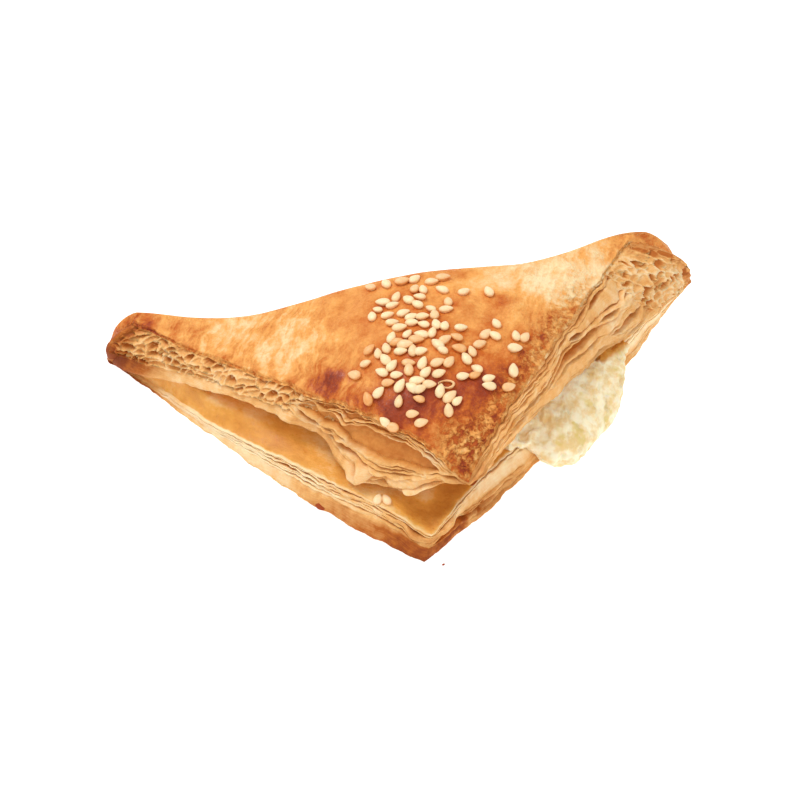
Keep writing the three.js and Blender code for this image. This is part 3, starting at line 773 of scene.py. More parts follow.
def upper_face_patch(patches, rail, s):
    """The upper flap's cut face, whose first rows are still skin."""
    along = column(s) * WAY
    brown = mix(top_browning_and_shading(rail.rim[:, None, 0], rail.rim[:, None, 1]), rim_browning(along), 0.6)
    points, wall = brim_and_wall(rail.rim, rail.lip, rail.out, UPPER, s, tip_swell(s))
    share = np.linspace(0, 1, len(wall))
    toast_and_shading = mix(brown, face_browning(along, share), smooth(0.05, 0.2, share))
    # Painted shade: the wall behind the leaves is darker near 78 mm, behind the big hollow.
    toast_and_shading = toast_and_shading + 0.2 * wall * bell(along - 78, 14)
    kinds = np.where(np.arange(len(wall)) < SKIN_ROWS, SKIN, LEAVES)
    # The wall rows get a depth, which the leaf material paints as shade and glow.
    patches.add(kinds, points, toast_and_shading, wall * fullness(column(s), 0.03), 0.5)


def pocket_patches(patches, rail, s):
    """The pocket's roof, from the lip inwards, and its floor, back out to the ledge."""
    deep, s = pocket_back(s, rail.lip)[:, None], column(s)
    u = (np.arange(1, ROOF_STEPS) / ROOF_STEPS)[None, :]
    plan = mix(rail.lip[:, None, :2], deep, column(u))
    patches.add(INNER, raised(plan, pocket_floor(s, u) + pocket_gap(s, u)), 0.42)

    u = (np.arange(FLOOR_STEPS, 0, -1) / FLOOR_STEPS)[None, :] ** 1.3
    plan = mix(rail.ledge[:, None, :2], deep, column(u))
    x, y = plan[..., 0], plan[..., 1]
    floor = pocket_floor(s, u) + 0.45 * cloud(x, y, size=9, seed=51) * smooth(0, 0.15, u)
    # Painted light: deeper in, and near s 0.42 and 0.49 where the flaps' shade falls, the floor is
    # painted paler to lift the shade. Just inside the ledge at the corner it is browner, and a
    # little browner near s 0.27.
    toast_and_shading = 0.46 + ramps(u, (0.08, 0, 0.12), (-0.3, 0.12, 0.36))
    by_ledge = smooth(0.01, 0.05, u) * (1 - 0.9 * smooth(0.1, 0.26, u))
    toast_and_shading = toast_and_shading + (0.34 * by_ledge - 0.2 * smooth(0.1, 0.2, u)) * bell(s - 0.49, 0.06)
    toast_and_shading = toast_and_shading + humps(s, (0.07, 0.27, 0.07), (-0.34, 0.42, 0.05))
    patches.add(INNER, raised(plan, floor), toast_and_shading + 0.08 * cloud(x, y, size=8, seed=53))


def base_patches(patches, rail, s, heel):
    """The lower flap's cut face and the underside."""
    points, wall = brim_and_wall(rail.ledge, rail.base, rail.out, LOWER, s)
    toast_and_shading = base_browning(column(s) * WAY, np.linspace(0, 1, len(wall)))
    # The wall rows get a depth, which the leaf material paints as shade and glow.
    patches.add(LEAVES, points, toast_and_shading, 0.9 * wall * fullness(column(s), 0.03))
    share = (np.arange(1, BASE_STEPS) / BASE_STEPS)[None, :, None]
    patches.add(SKIN, mix(rail.base[:, None], heel[:, None], share), 0.55)


def fold_patch(patches, top, heel, s):
    """The rounded fold at the back, from the underside up to the crest."""
    angle = (np.pi * np.arange(FOLD_STEPS) / FOLD_STEPS)[None, :]
    rise, round_ = (1 - np.cos(angle)) / 2, np.sin(angle)
    swell = tip_swell(s)
    plan = mix(heel[:, None, :2], top[:, None], column(rise))
    height = mix(heel[:, 2:], column(top_height(top[:, 0], top[:, 1])), rise)
    x, z = plan[..., 0] + swell[:, :1] * round_, height + swell[:, 1:] * round_
    blisters = 0.25 * cloud(x / 3, z, size=4, seed=71) + 0.5 * cloud(x, z * 1.3, size=6.5, seed=75)
    y = plan[..., 1] + (column(mix(*FOLD_ROUND, fullness(s, 0.2))) + blisters) * round_
    toast_and_shading = 0.42 + ramps(rise, (0.24, 0.3, 0.02), (-0.08, 0.4, 0.9))
    toast_and_shading = toast_and_shading + 0.2 * cloud(x / 3.5, z, size=2.6, seed=73) + 0.14 * cloud(x, z, size=9, seed=79)
    over = smooth(0.55, 1, rise)
    toast_and_shading = mix(toast_and_shading, top_browning_and_shading(x, y), over)
    wrinkled = mix(0.2, wrinkling(x, y), over)
    patches.add(SKIN, np.stack([x, y, z], axis=-1), toast_and_shading, wrinkled=wrinkled)


def dough_patches():
    """The whole section of the dough at every station."""
    s = np.linspace(0, 1, STATIONS + 1)
    rail, top = rails(s), fold_top(s)
    heel = raised(fold_base(s), rail.base[:, 2])
    patches = Patchwork()
    top_patch(patches, rail, top)
    upper_face_patch(patches, rail, s)
    pocket_patches(patches, rail, s)
    base_patches(patches, rail, s, heel)
    fold_patch(patches, top, heel, s)
    return patches


def ring_faces(stations, size, start=0, wrap=None):
    """Quads of a closed loft: rings of equal size, one per station.

    wrap is the number of points in all, where the last ring is the first one again.
    """
    here = start + np.arange(stations - 1)[:, None] * size
    i = np.arange(size)[None, :]
    after = (i + 1) % size
    quads = np.stack([here + i, here + after, here + size + after, here + size + i], axis=-1)
    return (quads.reshape(-1, 4) % (wrap or quads.max() + 1)).tolist()


def loft_faces(stations, size, start=0):
    """Faces of a loft: the quads between its rings and its two flat ends."""
    last = start + (stations - 1) * size
    ends = [list(range(start, start + size))[::-1], list(range(last, last + size))]
    return ring_faces(stations, size, start) + ends


DOME_ANGLES = (12, 24, 36, 48, 60, 72, 82)
DOME_REACH = (2.9, 2.4)
DOME_FLAT = (0.8, 0.3)          # how much less of it there is at the top of the end
DOME_TOAST = 0.24               # how much browner the left one is at its end


def dome(end, inner, reach, flat):
    """Ever smaller rings that close one end of a loft."""
    centre = end.mean(axis=0)
    away = (end - inner).mean(axis=0)
    away *= reach / np.linalg.norm(away)
    low, high = end[:, 2].min(), end[:, 2].max()
    fuller = 1 - flat * (end[:, 2] - low) / (high - low) + 0.5 * cloud(*end.T, size=2.6, seed=61)
    turns = [math.radians(angle) for angle in DOME_ANGLES]
    return [centre + (end - centre) * math.cos(a)
            + away * math.sin(a) * column(mix(0.7, fuller, min(1, 1.6 * math.cos(a))))
            for a in turns]


def domed(rings):
    """Rings with a dome added at each end, and the ring that each one came from."""
    before = dome(rings[0], rings[1], DOME_REACH[0], DOME_FLAT[0])[::-1]
    after = dome(rings[-1], rings[-2], DOME_REACH[1], DOME_FLAT[1])
    count, extra = len(rings), len(DOME_ANGLES)
    source = [0] * extra + list(range(count)) + [count - 1] * extra
    return np.concatenate([before, rings, after]), source


def mesh_from(name, points, faces, materials):
    """A mesh of points given in millimetres, in rows of any shape."""
    mesh = bpy.data.meshes.new(name)
    mesh.from_pydata(to_row(points).reshape(-1, 3).tolist(), [], faces)
    for material in materials:
        mesh.materials.append(material)
    return mesh


def add_values(mesh, name, values):
    """Stores one number per vertex for the materials to read."""
    layer = mesh.attributes.new(name, "FLOAT", "POINT")
    layer.data.foreach_set("value", np.asarray(values, dtype=np.float32).ravel())


def add_vectors(mesh, name, values):
    """Stores one vector per vertex for the materials to read."""
    layer = mesh.attributes.new(name, "FLOAT_VECTOR", "POINT")
    layer.data.foreach_set("vector", np.asarray(values, dtype=np.float32).ravel())


def recalculated(mesh):
    """Turns every face outwards."""
    work = bmesh.new()
    work.from_mesh(mesh)
    bmesh.ops.recalc_face_normals(work, faces=work.faces)
    work.to_mesh(mesh)
    work.free()


def added(name, data):
    """A new object at the origin."""
    item = bpy.data.objects.new(name, data)
    bpy.context.collection.objects.link(item)
    return item


def placed(name, mesh):
    """A finished piece at the origin, riding on the part's one body."""
    piece = added(name, mesh)
    mesh.polygons.foreach_set("use_smooth", [True] * len(mesh.polygons))
    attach(piece, BODY)
    return piece


def plain_mesh(carrier):
    """The mesh that an object shows under its modifiers, which are then taken off."""
    depsgraph = bpy.context.evaluated_depsgraph_get()
    mesh = bpy.data.meshes.new_from_object(carrier.evaluated_get(depsgraph), depsgraph=depsgraph)
    carrier.modifiers.clear()
    return mesh


# ---- node trees


def operator(name, reflected=False):
    """A method for an arithmetic operator; reflected where the value stands on its right."""
    def method(self, other):
        first, second = (other, self) if reflected else (self, other)
        return self.tree.math(name, first, second)
    return method


class Value:
    """A number from a node, used in an expression; each operator adds a Math node."""

    def __init__(self, tree, socket):
        self.tree = tree
        self.socket = socket

    __add__ = __radd__ = operator("ADD")
    __mul__ = __rmul__ = operator("MULTIPLY")
    __sub__, __rsub__ = operator("SUBTRACT"), operator("SUBTRACT", reflected=True)
    __truediv__, __rtruediv__ = operator("DIVIDE"), operator("DIVIDE", reflected=True)
    __pow__ = operator("POWER")

    def clamped(self):
        """Kept between 0 and 1."""
        return self.tree.math("MAXIMUM", self.tree.math("MINIMUM", self, 1.0), 0.0)

    def eased(self, low, high):
        """0 below low, 1 above high, smooth between."""
        t = ((self - low) / (high - low)).clamped()
        return t * t * (3.0 - 2.0 * t)


class Tree:
    """Adds nodes to one node tree."""

    def __init__(self, node_tree):
        self.tree = node_tree

    def node(self, kind, inputs=None, **settings):
        """Adds a node, makes its settings, then sets or links its inputs."""
        node = self.tree.nodes.new(kind)
        for name, value in settings.items():
            setattr(node, name, value)
        for key, value in (inputs or {}).items():
            self.feed(node.inputs[key], value)
        return node

    def output(self, kind, inputs=None, **settings):
        """Adds a node and returns its first output."""
        return self.node(kind, inputs, **settings).outputs[0]

    def feed(self, socket, value):
        """Sets a socket, or links it where the value comes from a node."""
        if isinstance(value, Value):
            value = value.socket
        if isinstance(value, bpy.types.NodeSocket):
            self.tree.links.new(value, socket)
        else:
            socket.default_value = value

    def paint(self, values):
        """Feeds sockets of the material's Principled shader."""
        shader = self.tree.nodes["Principled BSDF"]
        for name, value in values.items():
            self.feed(shader.inputs[name], value)

    def math(self, operation, *operands):
        """A number worked out by one Math node."""
        inputs = dict(enumerate(operands))
        return Value(self, self.output("ShaderNodeMath", inputs, operation=operation))

    def place(self):
        """Object coordinates, in metres."""
        return self.node("ShaderNodeTexCoord").outputs["Object"]

    def attribute(self, name):
        """A number stored with the mesh."""
        return Value(self, self.node("ShaderNodeAttribute", attribute_name=name).outputs["Fac"])

    def noise(self, vector, scale, detail=3.0, roughness=0.55):
        """Noise from 0 to 1."""
        inputs = {"Vector": vector, "Scale": scale, "Detail": detail, "Roughness": roughness}
        return Value(self, self.output("ShaderNodeTexNoise", inputs))

    def ramp(self, factor, *stops):
        """A colour that runs through stops, each given by its position and colour."""
        node = self.node("ShaderNodeValToRGB", {0: factor})
        elements = node.color_ramp.elements
        while len(elements) < len(stops):
            elements.new(1.0)
        for element, (position, shade) in zip(elements, stops):
            element.position = position
            element.color = shade
        return node.outputs[0]

    def blend(self, factor, first, second):
        """A colour between two others."""
        inputs = {0: factor, 6: first, 7: second}
        return self.node("ShaderNodeMix", inputs, data_type="RGBA").outputs[2]

    def stretched(self, vector, scale, turn=0.0):
        """A vector scaled along its axes after a turn about Z."""
        spin = {"Vector": vector, "Rotation": (0.0, 0.0, math.radians(turn))}
        spun = self.output("ShaderNodeMapping", spin)
        return self.output("ShaderNodeMapping", {"Vector": spun, "Scale": scale})

    def shifted(self, vector, scale, amount):
        """A vector moved about by noise, so that a pattern on it loses its straightness."""
        inputs = {"Vector": vector, "Scale": scale, "Detail": 2.0}
        drift = self.node("ShaderNodeTexNoise", inputs).outputs["Color"]
        inputs = {0: drift, 1: (amount, amount, amount), 2: vector}
        return self.output("ShaderNodeVectorMath", inputs, operation="MULTIPLY_ADD")

    def bump(self, height, strength, distance, normal=None):
        """A normal tilted by a relief, over another normal where one is given."""
        inputs = {"Height": height, "Strength": strength, "Distance": distance}
        if normal is not None:
            inputs["Normal"] = normal
        return self.output("ShaderNodeBump", inputs)


def colour(red, green, blue):
    """A colour given as it looks on a screen, 0 to 255, for a socket that takes light."""
    def linear(level):
        share = level / 255
        return share / 12.92 if share <= 0.04045 else ((share + 0.055) / 1.055) ** 2.4
    return (linear(red), linear(green), linear(blue), 1.0)


def new_material(name, even):
    """A material with one Principled shader, whose even values are set on its sockets."""
    material = bpy.data.materials.new(name)
    material.use_nodes = True
    tree = Tree(material.node_tree)
    tree.paint(even)
    return material, tree


def soft(weight, radius, depth=MM):
    """Values for light that gets in under a surface."""
    return {"Subsurface Weight": weight, "Subsurface Radius": radius, "Subsurface Scale": depth}


# ---- materials

def skin_material(look):
    """The glazed skin: browned in streaks, patches and specks, and in flakes where it is crisp.
    Along its wrinkles the streaks are partly browning and partly painted light and shade: pale
    dashes of painted highlight, creases of painted shade.
    """
    material, tree = new_material("glazed_skin", {
        "Specular IOR Level": 0.25, "Coat Roughness": 0.22, "Coat IOR": 1.4,
        **soft(0.1, (1.0, 0.5, 0.25))})
    place = tree.place()
    toast_and_shading, crisp, wrinkled = (tree.attribute(name) for name in ("toast_and_shading", "crisp", "wrinkled"))
    bent = tree.shifted(tree.shifted(place, 260.0, 0.002), 55.0, 0.012)
    streaks = tree.noise(tree.stretched(bent, (240.0, 700.0, 400.0), -64.0), 1.0, 4.0, 0.6)
    dashes = streaks.eased(0.36, 0.6)
    patches = tree.noise(place, 120.0).eased(0.38, 0.62)
    mottle = tree.noise(place, 260.0, 5.0, 0.65)
    fine = tree.noise(place, 1500.0, 4.0, 0.7)
    flakes = tree.noise(tree.shifted(place, 700.0, 0.0016), 620.0, 4.0, 0.7).eased(0.36, 0.62)
    # Painted light and shade: along the wrinkles the pale dashes are painted highlight, and the
    # creases between them are darkened partly as painted shade, partly as the skin's own browning.
    browning_and_shading = (toast_and_shading + (0.4 - dashes) * (0.03 + wrinkled * 0.12) + (mottle - 0.5) * 0.5
                + (0.5 - patches) * wrinkled * 0.14
                + (fine - 0.5) * 0.3 + (0.5 - flakes) * crisp * 0.55)
    glaze = toast_and_shading.eased(0.45, 0.75) * (1.0 - crisp * 0.8)
    sparkle = fine.eased(0.54, 0.66) * glaze
    drawn = tree.bump(dashes * (0.1 + wrinkled), 0.4, 0.0005)
    rough = tree.bump(flakes * crisp, 1.0, 0.0006, drawn)
    tree.paint({
        "Base Color": tree.ramp(browning_and_shading, (0.0, look.pale), (0.3, look.golden),
                                (0.6, look.brown), (0.77, look.deep), (1.0, look.dark)),
        "Roughness": 0.6 - glaze * 0.2 - sparkle * 0.2 + (mottle - 0.5) * 0.3,
        "Coat Weight": glaze * 0.1 + sparkle * 0.6,
        "Normal": tree.bump(fine + mottle, 0.6, 0.0004, rough)})
    return material


def leaf_material(look):
    """The leaves of the cut faces: pale edges, and depths between them painted amber as painted
    shade, with a faint painted glow.
    """
    material, tree = new_material("dough_leaves", {
        "Specular IOR Level": 0.25, "Emission Strength": 0.08, **soft(0.15, (1.0, 0.6, 0.3))})
    place = tree.place()
    toast_and_shading, depth = tree.attribute("toast_and_shading"), tree.attribute("depth")
    leaf = tree.node("ShaderNodeAttribute", attribute_name="leaf").outputs["Vector"]
    lines = tree.noise(tree.stretched(leaf, (0.25, 2.2, 1.0)), 1.0, 3.0, 0.6)
    mottle = tree.noise(place, 600.0, 4.0, 0.65)
    clouds = tree.noise(place, 210.0)
    browning_and_shading = toast_and_shading + (lines - 0.5) * 0.4 + (mottle - 0.5) * 0.45 + (clouds - 0.5) * 0.5
    shade = tree.ramp(browning_and_shading, (0.0, look.leaf_pale), (0.4, look.leaf_golden),
                      (0.8, look.leaf_brown), (1.0, look.leaf_dark))
    dim = (mottle * 0.5 + toast_and_shading * 0.55).eased(0.3, 0.7)
    # Painted shade: the depths between the leaves, and the wall behind them, are painted amber,
    # darker where browner.
    amber = tree.blend(dim, look.cell_light, look.cell_dark)
    deep = depth.eased(0.1, 0.9)
    tree.paint({
        "Base Color": tree.blend(deep * 0.8, shade, amber),
        # Painted glow: the depths give off a little light of their own, though no lamp is there.
        "Emission Color": tree.blend(deep, colour(0, 0, 0), look.cell_light),
        "Roughness": 0.6 + (mottle - 0.5) * 0.3 - depth * 0.15,
        "Normal": tree.bump(mottle, 0.4, 0.0003, tree.bump(lines, 0.3, 0.0004))})
    return material


def inner_material(look):
    """The moist walls of the pocket, with strands of torn dough and a faint painted glow that lifts
    their shade.
    """
    material, tree = new_material("pocket_wall", {
        "Specular IOR Level": 0.3, "Coat Roughness": 0.3, **soft(0.25, (1.0, 0.5, 0.2), 2 * MM),
        # Painted glow: the walls give off a little golden light of their own.
        "Emission Strength": 0.08, "Emission Color": look.pocket_golden})
    place = tree.place()
    clouds = tree.noise(tree.shifted(place, 120.0, 0.004), 95.0)
    fine = tree.noise(place, 1100.0, 4.0, 0.7)
    bent = tree.shifted(place, 170.0, 0.003)
    strands = tree.noise(tree.stretched(bent, (240.0, 560.0, 400.0), 35.0), 1.0, 4.0, 0.65)
    browning_and_shading = (tree.attribute("toast_and_shading") + (clouds.eased(0.36, 0.64) - 0.5) * 0.24
                + (fine - 0.5) * 0.3 + (0.45 - strands.eased(0.36, 0.7)) * 0.16)
    relief = tree.bump(clouds + fine * 0.4, 0.4, 0.0008)
    tree.paint({
        "Base Color": tree.ramp(browning_and_shading, (0.0, look.pocket_pale), (0.45, look.pocket_golden),
                                (0.9, look.pocket_brown)),
        "Roughness": 0.5 - fine.eased(0.5, 0.66) * 0.25,
        "Coat Weight": browning_and_shading.eased(0.4, 0.9) * 0.12,
        "Normal": tree.bump(strands, 0.3, 0.0006, relief)})
    return material


def filling_material(look):
    """The crumbly filling, with yellow flecks and a streak of painted shade in the slit beside the
    dough.
    """
    material, tree = new_material("filling_curd", {
        "Specular IOR Level": 0.3, "Coat Weight": 0.1, "Coat Roughness": 0.3,
        **soft(0.3, (1.0, 0.75, 0.4), 2 * MM)})
    place = tree.place()
    curds = tree.noise(place, 380.0, 4.0, 0.6)
    fine = tree.noise(place, 1500.0, 3.0, 0.6)
    flecks = tree.noise(place, 230.0, 2.0).eased(0.56, 0.7)
    # Between the lumps of the relief the filling is darker and yellower: partly its own tone,
    # partly painted shade.
    pale = tree.blend(curds.eased(0.34, 0.62), look.hollow, look.curd)
    tinted = tree.blend(flecks * 0.75, pale, look.fleck)
    # Painted shade: the baked value darkens the filling to amber along the slit beside the dough.
    baked = (tree.attribute("baked") * (0.4 + curds)).eased(0.2, 0.8)
    tree.paint({
        "Base Color": tree.blend(baked, tinted, look.baked),
        "Roughness": 0.5 + (fine - 0.5) * 0.3,
        "Normal": tree.bump(curds + fine * 0.4, 0.6, 0.0007)})
    return material


def seed_material(look):
    """The hulls of the seeds, each with a tint of its own and a rim painted darker as painted
    shade.
    """
    material, tree = new_material("sesame_hull", {
        "Specular IOR Level": 0.4, "Coat Weight": 0.1, "Coat Roughness": 0.25,
        **soft(0.15, (1.0, 0.6, 0.3))})
    fine = tree.noise(tree.place(), 900.0)
    # Painted shade: the edge value darkens each seed round its rim, where its sides turn from the
    # light.
    browning_and_shading = tree.attribute("tint") + tree.attribute("edge") * 0.5 + (fine - 0.5) * 0.5
    tree.paint({
        "Base Color": tree.ramp(browning_and_shading, (0.0, look.hull), (0.75, look.toasted),
                                (1.0, look.seed_rim_shade)),
        "Roughness": 0.42 + (fine - 0.5) * 0.2,
        "Normal": tree.bump(fine, 0.15, 0.0003)})
    return material


# ---- geometry trees


def geometry_tree(name, sizes):
    """A geometry node group with named size inputs, and its input and output nodes."""
    group = bpy.data.node_groups.new(name, "GeometryNodeTree")
    group.interface.new_socket("Geometry", in_out="INPUT", socket_type="NodeSocketGeometry")
    for label, default in sizes.items():
        socket = group.interface.new_socket(label, in_out="INPUT", socket_type="NodeSocketFloat")
        socket.default_value = default
    group.interface.new_socket("Geometry", in_out="OUTPUT", socket_type="NodeSocketGeometry")
    tree = Tree(group)
    return group, tree, tree.node("NodeGroupInput"), tree.node("NodeGroupOutput")


def grown(name, mesh, group, sizes):
    """Runs a geometry tree on a mesh and returns the result as a plain mesh."""
    carrier = added(name + "_carrier", mesh)
    modifier = carrier.modifiers.new(name, "NODES")
    modifier.node_group = group
    for item in group.interface.items_tree:
        if item.in_out == "INPUT" and item.name in sizes:
            modifier[item.identifier] = sizes[item.name]
    result = plain_mesh(carrier)
    result.name = name
    bpy.data.objects.remove(carrier)
    return result


def seed_tree(material):
    """One drop-shaped seed on each point, turned as the point's attribute says."""
    sizes = {"Length": 0.0032, "Width": 0.002, "Height": 0.0011}
    group, tree, given, result = geometry_tree("scatter_seeds", sizes)
    length, width, height = (Value(tree, given.outputs[name]) for name in sizes)
    ball = tree.output("GeometryNodeMeshUVSphere", {"Segments": 12, "Rings": 9, "Radius": 0.5})
    place = tree.output("GeometryNodeInputPosition")
    split = tree.node("ShaderNodeSeparateXYZ", {0: place})
    x, y, z = (Value(tree, split.outputs[k]) for k in range(3))
    point = (z * 2.0 + 1.0) / 2.0
    narrow = 1.0 - 0.48 * point ** 2.2
    # edge: 1 round the seed's rim, where the seed material paints shade.
    side = 1.0 - tree.math("ABSOLUTE", x) * 2.0
    edged = tree.output("GeometryNodeStoreNamedAttribute",
                        {"Geometry": ball, "Name": "edge", "Value": side ** 3.0},
                        data_type="FLOAT", domain="POINT")
    shape = tree.output("ShaderNodeCombineXYZ", {
        "X": z * length, "Y": y * narrow * width * 1.12, "Z": x * narrow * height * 1.1})
    drop = tree.output("GeometryNodeSetPosition", {"Geometry": edged, "Position": shape})
    turn, size = (
        tree.output("GeometryNodeInputNamedAttribute", {"Name": name}, data_type=kind)
        for name, kind in (("turn", "FLOAT_VECTOR"), ("size", "FLOAT")))
    rotation = tree.output("FunctionNodeEulerToRotation", {0: turn})
    copies = tree.output("GeometryNodeInstanceOnPoints", {
        "Points": given.outputs["Geometry"], "Instance": drop, "Rotation": rotation, "Scale": size})
    real = tree.output("GeometryNodeRealizeInstances", {0: copies})
    shaded = tree.output("GeometryNodeSetShadeSmooth", {0: real})
    coloured = tree.output("GeometryNodeSetMaterial", {0: shaded, "Material": material})
    tree.feed(result.inputs[0], coloured)
    return group


# ---- seeds

# Each seed: X and Y of its middle, mm, and the heading of its point, degrees.
TOP_SEEDS = (
    (-6.4, -7.5, 128), (-2.8, -7.5, 103), (0.8, -7.8, 7), (3.6, -7.4, 40), (7.2, -9.4, 342),
    (9.9, -8.5, 356), (9.0, -12.8, 140), (13.7, -14.3, 31), (19.2, -14.8, 100), (3.1, -11.5, 65),
    (4.8, -12.3, 91), (3.6, -15.1, 149), (-1.2, -12.9, 61), (-4.5, -13.9, 156), (-2.5, -15.8, 11),
    (1.1, -15.4, 117), (2.7, -17.6, 127), (-0.6, -19.5, 12), (-5.9, -16.3, 134),
    (-7.3, -18.1, 89), (-4.1, -19.4, 16), (5.4, -19.5, 128), (5.9, -22.0, 81), (9.7, -17.6, 87),
    (8.8, -20.3, 0), (0.9, -21.2, 10), (3.3, -21.9, 341), (-3.5, -22.2, 8), (-2.2, -24.1, 1),
    (0.8, -23.0, 337), (3.2, -24.5, 146), (5.8, -25.3, 95), (7.5, -26.1, 72), (11.0, -26.6, 8),
    (-0.7, -26.6, 48), (2.2, -27.4, 153), (4.7, -27.4, 65), (0.9, -28.8, 349), (9.6, -29.7, 150),
    (-4.2, -26.6, 65), (-5.8, -29.2, 90), (-3.4, -28.1, 1), (-1.6, -29.4, 351),
    (-2.8, -30.8, 352), (5.2, -31.1, 121), (7.0, -30.0, 25), (5.9, -32.8, 136), (9.7, -32.6, 157),
    (10.9, -35.3, 108), (14.4, -31.7, 24), (12.4, -33.7, 102), (16.2, -28.9, 42),
    (18.1, -29.7, 133), (19.0, -25.9, 100), (22.7, -29.6, 87), (24.7, -29.8, 50),
    (21.9, -33.3, 4), (-9.3, -28.6, 36), (-7.7, -30.3, 86), (-6.4, -32.4, 113), (-0.2, -31.4, 82),
    (1.4, -32.2, 354), (-10.5, -31.6, 359), (-5.2, -34.3, 45), (-1.6, -34.4, 346),
    (1.4, -35.3, 63), (4.5, -36.1, 12), (6.9, -36.2, 47), (-7.5, -35.1, 145), (-4.5, -36.8, 354),
    (-1.8, -36.2, 82), (1.7, -37.8, 44), (4.4, -38.7, 10), (12.8, -38.2, 134), (9.4, -39.8, 5),
    (12.1, -39.8, 14), (14.9, -41.0, 9), (14.7, -42.7, 164), (20.6, -38.8, 81), (18.9, -42.9, 15),
    (-13.3, -33.3, 141), (-6.5, -37.9, 355), (-0.5, -39.6, 354), (2.0, -40.8, 352),
    (-4.1, -39.5, 50), (-1.7, -41.0, 133), (-0.2, -41.6, 15), (-8.8, -39.4, 40),
    (-11.2, -40.0, 102), (-4.8, -42.9, 72), (-0.7, -43.7, 155), (4.1, -42.5, 72),
    (6.0, -44.3, 36), (7.4, -45.5, 34), (5.3, -47.1, 87), (-2.4, -46.3, 355), (-0.8, -48.5, 4),
    (-8.3, -45.9, 129), (-7.0, -47.3, 149),
)
LEDGE_SEEDS = ((-11.4, -56.2, 69), (-9.6, -56.6, 103))
HUSK = (5.8, -41.4, math.radians(-12))
SEED_SINK = 0.27                # how deep the seeds are baked into the skin

# Where each crumb lies, its length, width and thickness, mm, and its heading, degrees.
Crumb = namedtuple("Crumb", "x y z length width thickness heading")
CRUMBS = (
    Crumb(-23.5, -51.6, 0.7, 2.5, 1.3, 1.2, -40),
    Crumb(0.7, -71.2, 0.2, 0.7, 0.5, 0.4, 20),
)
CRUMB_RELIEF = 0.16


def ledge_height(x, y):
    """Height of the pocket's floor just inside the left rim, near the corner."""
    return FLAP_HEIGHT[1]


def laid_on(x, y, heading, height, lift, tip=0.0):
    """Place and turn of a thing that lies on a surface given by its height."""
    step = 0.8
    slope_x = (height(x + step, y) - height(x - step, y)) / (2 * step)
    slope_y = (height(x, y + step) - height(x, y - step)) / (2 * step)
    normal = Vector((-float(slope_x), -float(slope_y), 1)).normalized()
    place = Vector((x, y, float(height(x, y)))) + normal * lift
    turn = normal.to_track_quat("Z", "Y").to_matrix()
    # The tracked frame is turned about the normal so that headings keep their plan direction.
    level = turn.transposed() @ (Vector((1, 0, 0)) - normal * normal.x)
    spin = Matrix.Rotation(heading, 3, "Z") @ Matrix.Rotation(tip, 3, "Y")
    return place, (turn @ Matrix.Rotation(math.atan2(level.y, level.x), 3, "Z") @ spin).to_euler()


# ---- filling

FILLING_STATIONS, FILLING_RINGS = (0.26, 0.855), 42
SLIT_SHADE_LINE = ((44, -23.2, 9.6), (50.6, -17.4, 8.4))    # painted shade: the slit between the filling and the dough, where shade falls
SLIT_SHADE_REACH = 2.1
SPILL_MIDDLE, SPILL_HALF, SPILL_REACH = 0.753, 0.08, 7.3
STAND_OFF = 1.2                 # from the dough, where the filling is in the open


def at_rim(s):
    """How far the filling stands at the mouth: 0 deep in the pocket, 1 in the open."""
    return smooth(0.58, 0.66, s) * (1 - 0.5 * smooth(0.85, 0.9, s))


def spill(s):
    """How far the filling has spilt over the lower flap: 1 in the middle of the spill."""
    share = abs((s - SPILL_MIDDLE) / SPILL_HALF)
    return math.sqrt(1 - share**4) if share < 1 else 0.0


def filling_section(s):
    """One closed section of the filling, as coarse points for a subdivision surface."""
    s = np.array(s)
    rail = rails(s)
    deep = pocket_back(s, rail.lip)
    low, high = FILLING_STATIONS
    taper = np.clip((s - low) / 0.08 + 0.2, 0, 1) * np.clip((high - s) / 0.06 + 0.3, 0, 1)
    u = mix(0.42 * (1 - at_rim(s)) + 0.01, 0.86, np.arange(8) / 7)
    middle = pocket_floor(s, u) + pocket_gap(s, u) / 2
    half = np.maximum(pocket_gap(s, u) / 2 - 0.5, 0.12) * math.sqrt(taper)
    roof = raised(mix(rail.lip[:2], deep, column(u)), middle + half)
    floor = raised(mix(rail.ledge[:2], deep, column(u)), middle - half)
    clear = mix(0.5, STAND_OFF, at_rim(s))
    low_z, high_z, base = floor[0, 2], roof[0, 2], rail.base
    centre = (low_z + high_z) / 2
    under_rim = mix(floor[0], base, 0.5)
    # Each front point as it rests in the pocket, and as it hangs where the filling has spilt:
    # where it is pushed out from, how far, and its height.
    steps = (
        (floor[0], clear * 0.6, low_z, floor[0], clear * 0.6, low_z),
        (floor[0], clear, low_z, under_rim, clear, low_z / 2),
        (floor[0], clear + 0.3, mix(low_z, high_z, 0.1), base, clear, 0),
        (floor[0], clear + 0.6, mix(low_z, centre, 0.5), base, SPILL_REACH * 0.94, 0),
        (floor[0], clear + 0.8, centre, base, SPILL_REACH * 1.06, high_z * 0.28),
        (roof[0], clear + 0.6, mix(centre, high_z, 0.5), base, SPILL_REACH, high_z * 0.56),
        (roof[0], clear + 0.3, mix(low_z, high_z, 0.9), base, SPILL_REACH * 0.7, high_z * 0.82),
        (roof[0], 0.2, high_z, roof[0], SPILL_REACH * 0.3, high_z * 0.97),
    )
    front = []
    for rest_from, rest_push, rest_z, hung_from, hung_push, hung_z in steps:
        rest = np.append(rest_from[:2] + rail.out * rest_push, rest_z)
        hung = np.append(hung_from[:2] + rail.out * hung_push, hung_z)
        front.append(mix(rest, hung, spill(float(s))))
    return np.concatenate([roof, floor[::-1], np.array(front)])


# ---- settings


def number(name, description, default, **options):
    """A setting for a number."""
    return bpy.props.FloatProperty(
        name=name, description=description, default=default, **options)


